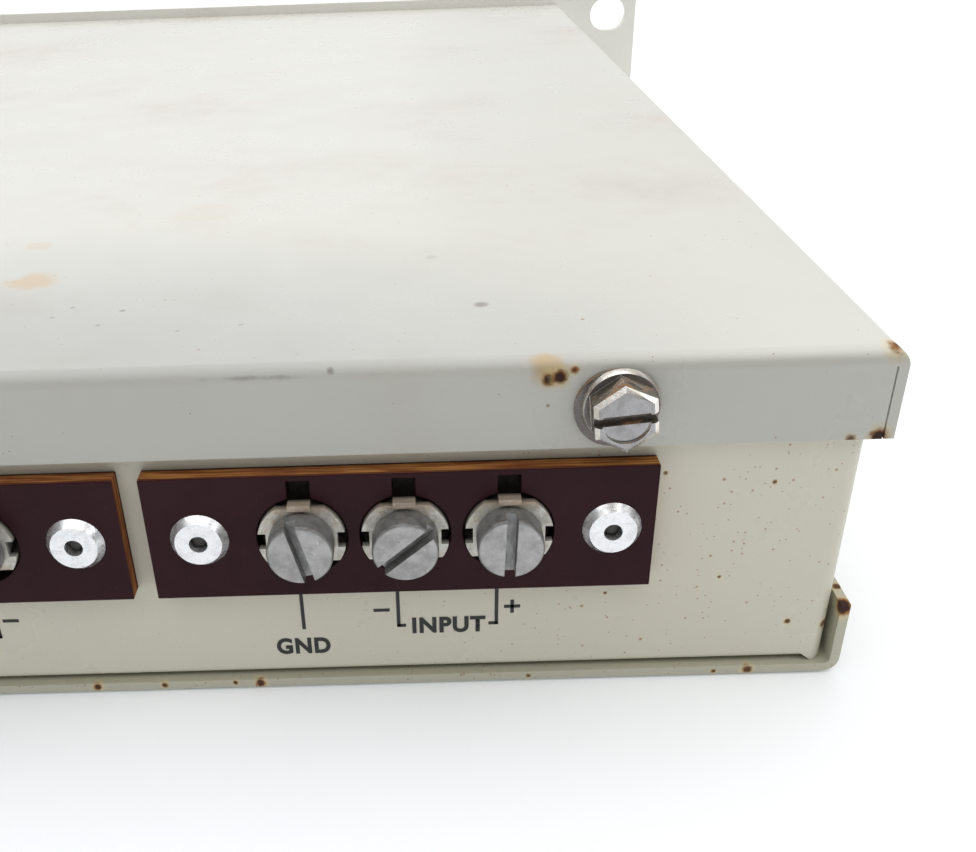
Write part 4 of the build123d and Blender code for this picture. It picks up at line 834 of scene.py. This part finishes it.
# A room that is dim near the horizon, so that metal shows some contrast, and a pale backdrop behind it all
world = bpy.data.worlds.new("soft_room")
world.use_nodes = True
bpy.context.scene.world = world
tree = world.node_tree
background = tree.nodes["Background"]
direction = tree.nodes.new("ShaderNodeTexCoord")
parts = tree.nodes.new("ShaderNodeSeparateXYZ")
tree.links.new(direction.outputs["Generated"], parts.inputs[0])
climb = tree.nodes.new("ShaderNodeMapRange")
climb.inputs["From Min"].default_value = 0.15
climb.inputs["From Max"].default_value = 0.6
climb.inputs["To Min"].default_value = 0.10
climb.inputs["To Max"].default_value = 0.42
tree.links.new(parts.outputs["Z"], climb.inputs["Value"])
ahead_glow = tree.nodes.new("ShaderNodeMapRange")
ahead_glow.inputs["From Min"].default_value = -0.15
ahead_glow.inputs["From Max"].default_value = -0.75
ahead_glow.inputs["To Min"].default_value = 0.0
ahead_glow.inputs["To Max"].default_value = 0.70
tree.links.new(parts.outputs["Y"], ahead_glow.inputs["Value"])
total = tree.nodes.new("ShaderNodeMath")
total.operation = "ADD"
tree.links.new(climb.outputs["Result"], total.inputs[0])
tree.links.new(ahead_glow.outputs["Result"], total.inputs[1])
seen = tree.nodes.new("ShaderNodeLightPath")
pick = tree.nodes.new("ShaderNodeMix")
tree.links.new(seen.outputs["Is Camera Ray"], pick.inputs[0])
tree.links.new(total.outputs[0], pick.inputs[2])
pick.inputs[3].default_value = 0.98
background.inputs["Color"].default_value = (0.97, 0.985, 1.0, 1.0)
tree.links.new(pick.outputs[0], background.inputs["Strength"])
bpy.context.scene.view_settings.view_transform = "Standard"

# The camera stands 101 mm behind the rear wall and 85 mm up, near the -X side
pitch, yaw, roll = 0.554, 0.012, 0.036
right = Vector((-cos(yaw), -sin(yaw), 0.0))
ahead = Vector((sin(yaw), -cos(yaw), 0.0))
forward = ahead * cos(pitch) + Vector((0, 0, -sin(pitch)))
up = ahead * sin(pitch) + Vector((0, 0, cos(pitch)))
image_x = right * cos(roll) - up * sin(roll)
image_y = right * sin(roll) + up * cos(roll)
camera_data = bpy.data.cameras.new("camera")
camera_data.sensor_fit = "HORIZONTAL"
camera_data.sensor_width = 36.0
camera_data.lens = 1081.66 / 976 * 36.0
camera_data.shift_x = 0.0799
camera_data.shift_y = 0.0963
camera_data.clip_start = 0.005
camera_data.clip_end = 50.0
camera = bpy.data.objects.new("camera", camera_data)
bpy.context.scene.collection.objects.link(camera)
turn = Matrix((image_x, image_y, -forward)).transposed().to_4x4()
camera.matrix_world = Matrix.Translation((from_side(47.263), rear + 0.100557, 0.084576)) @ turn
bpy.context.scene.camera = camera
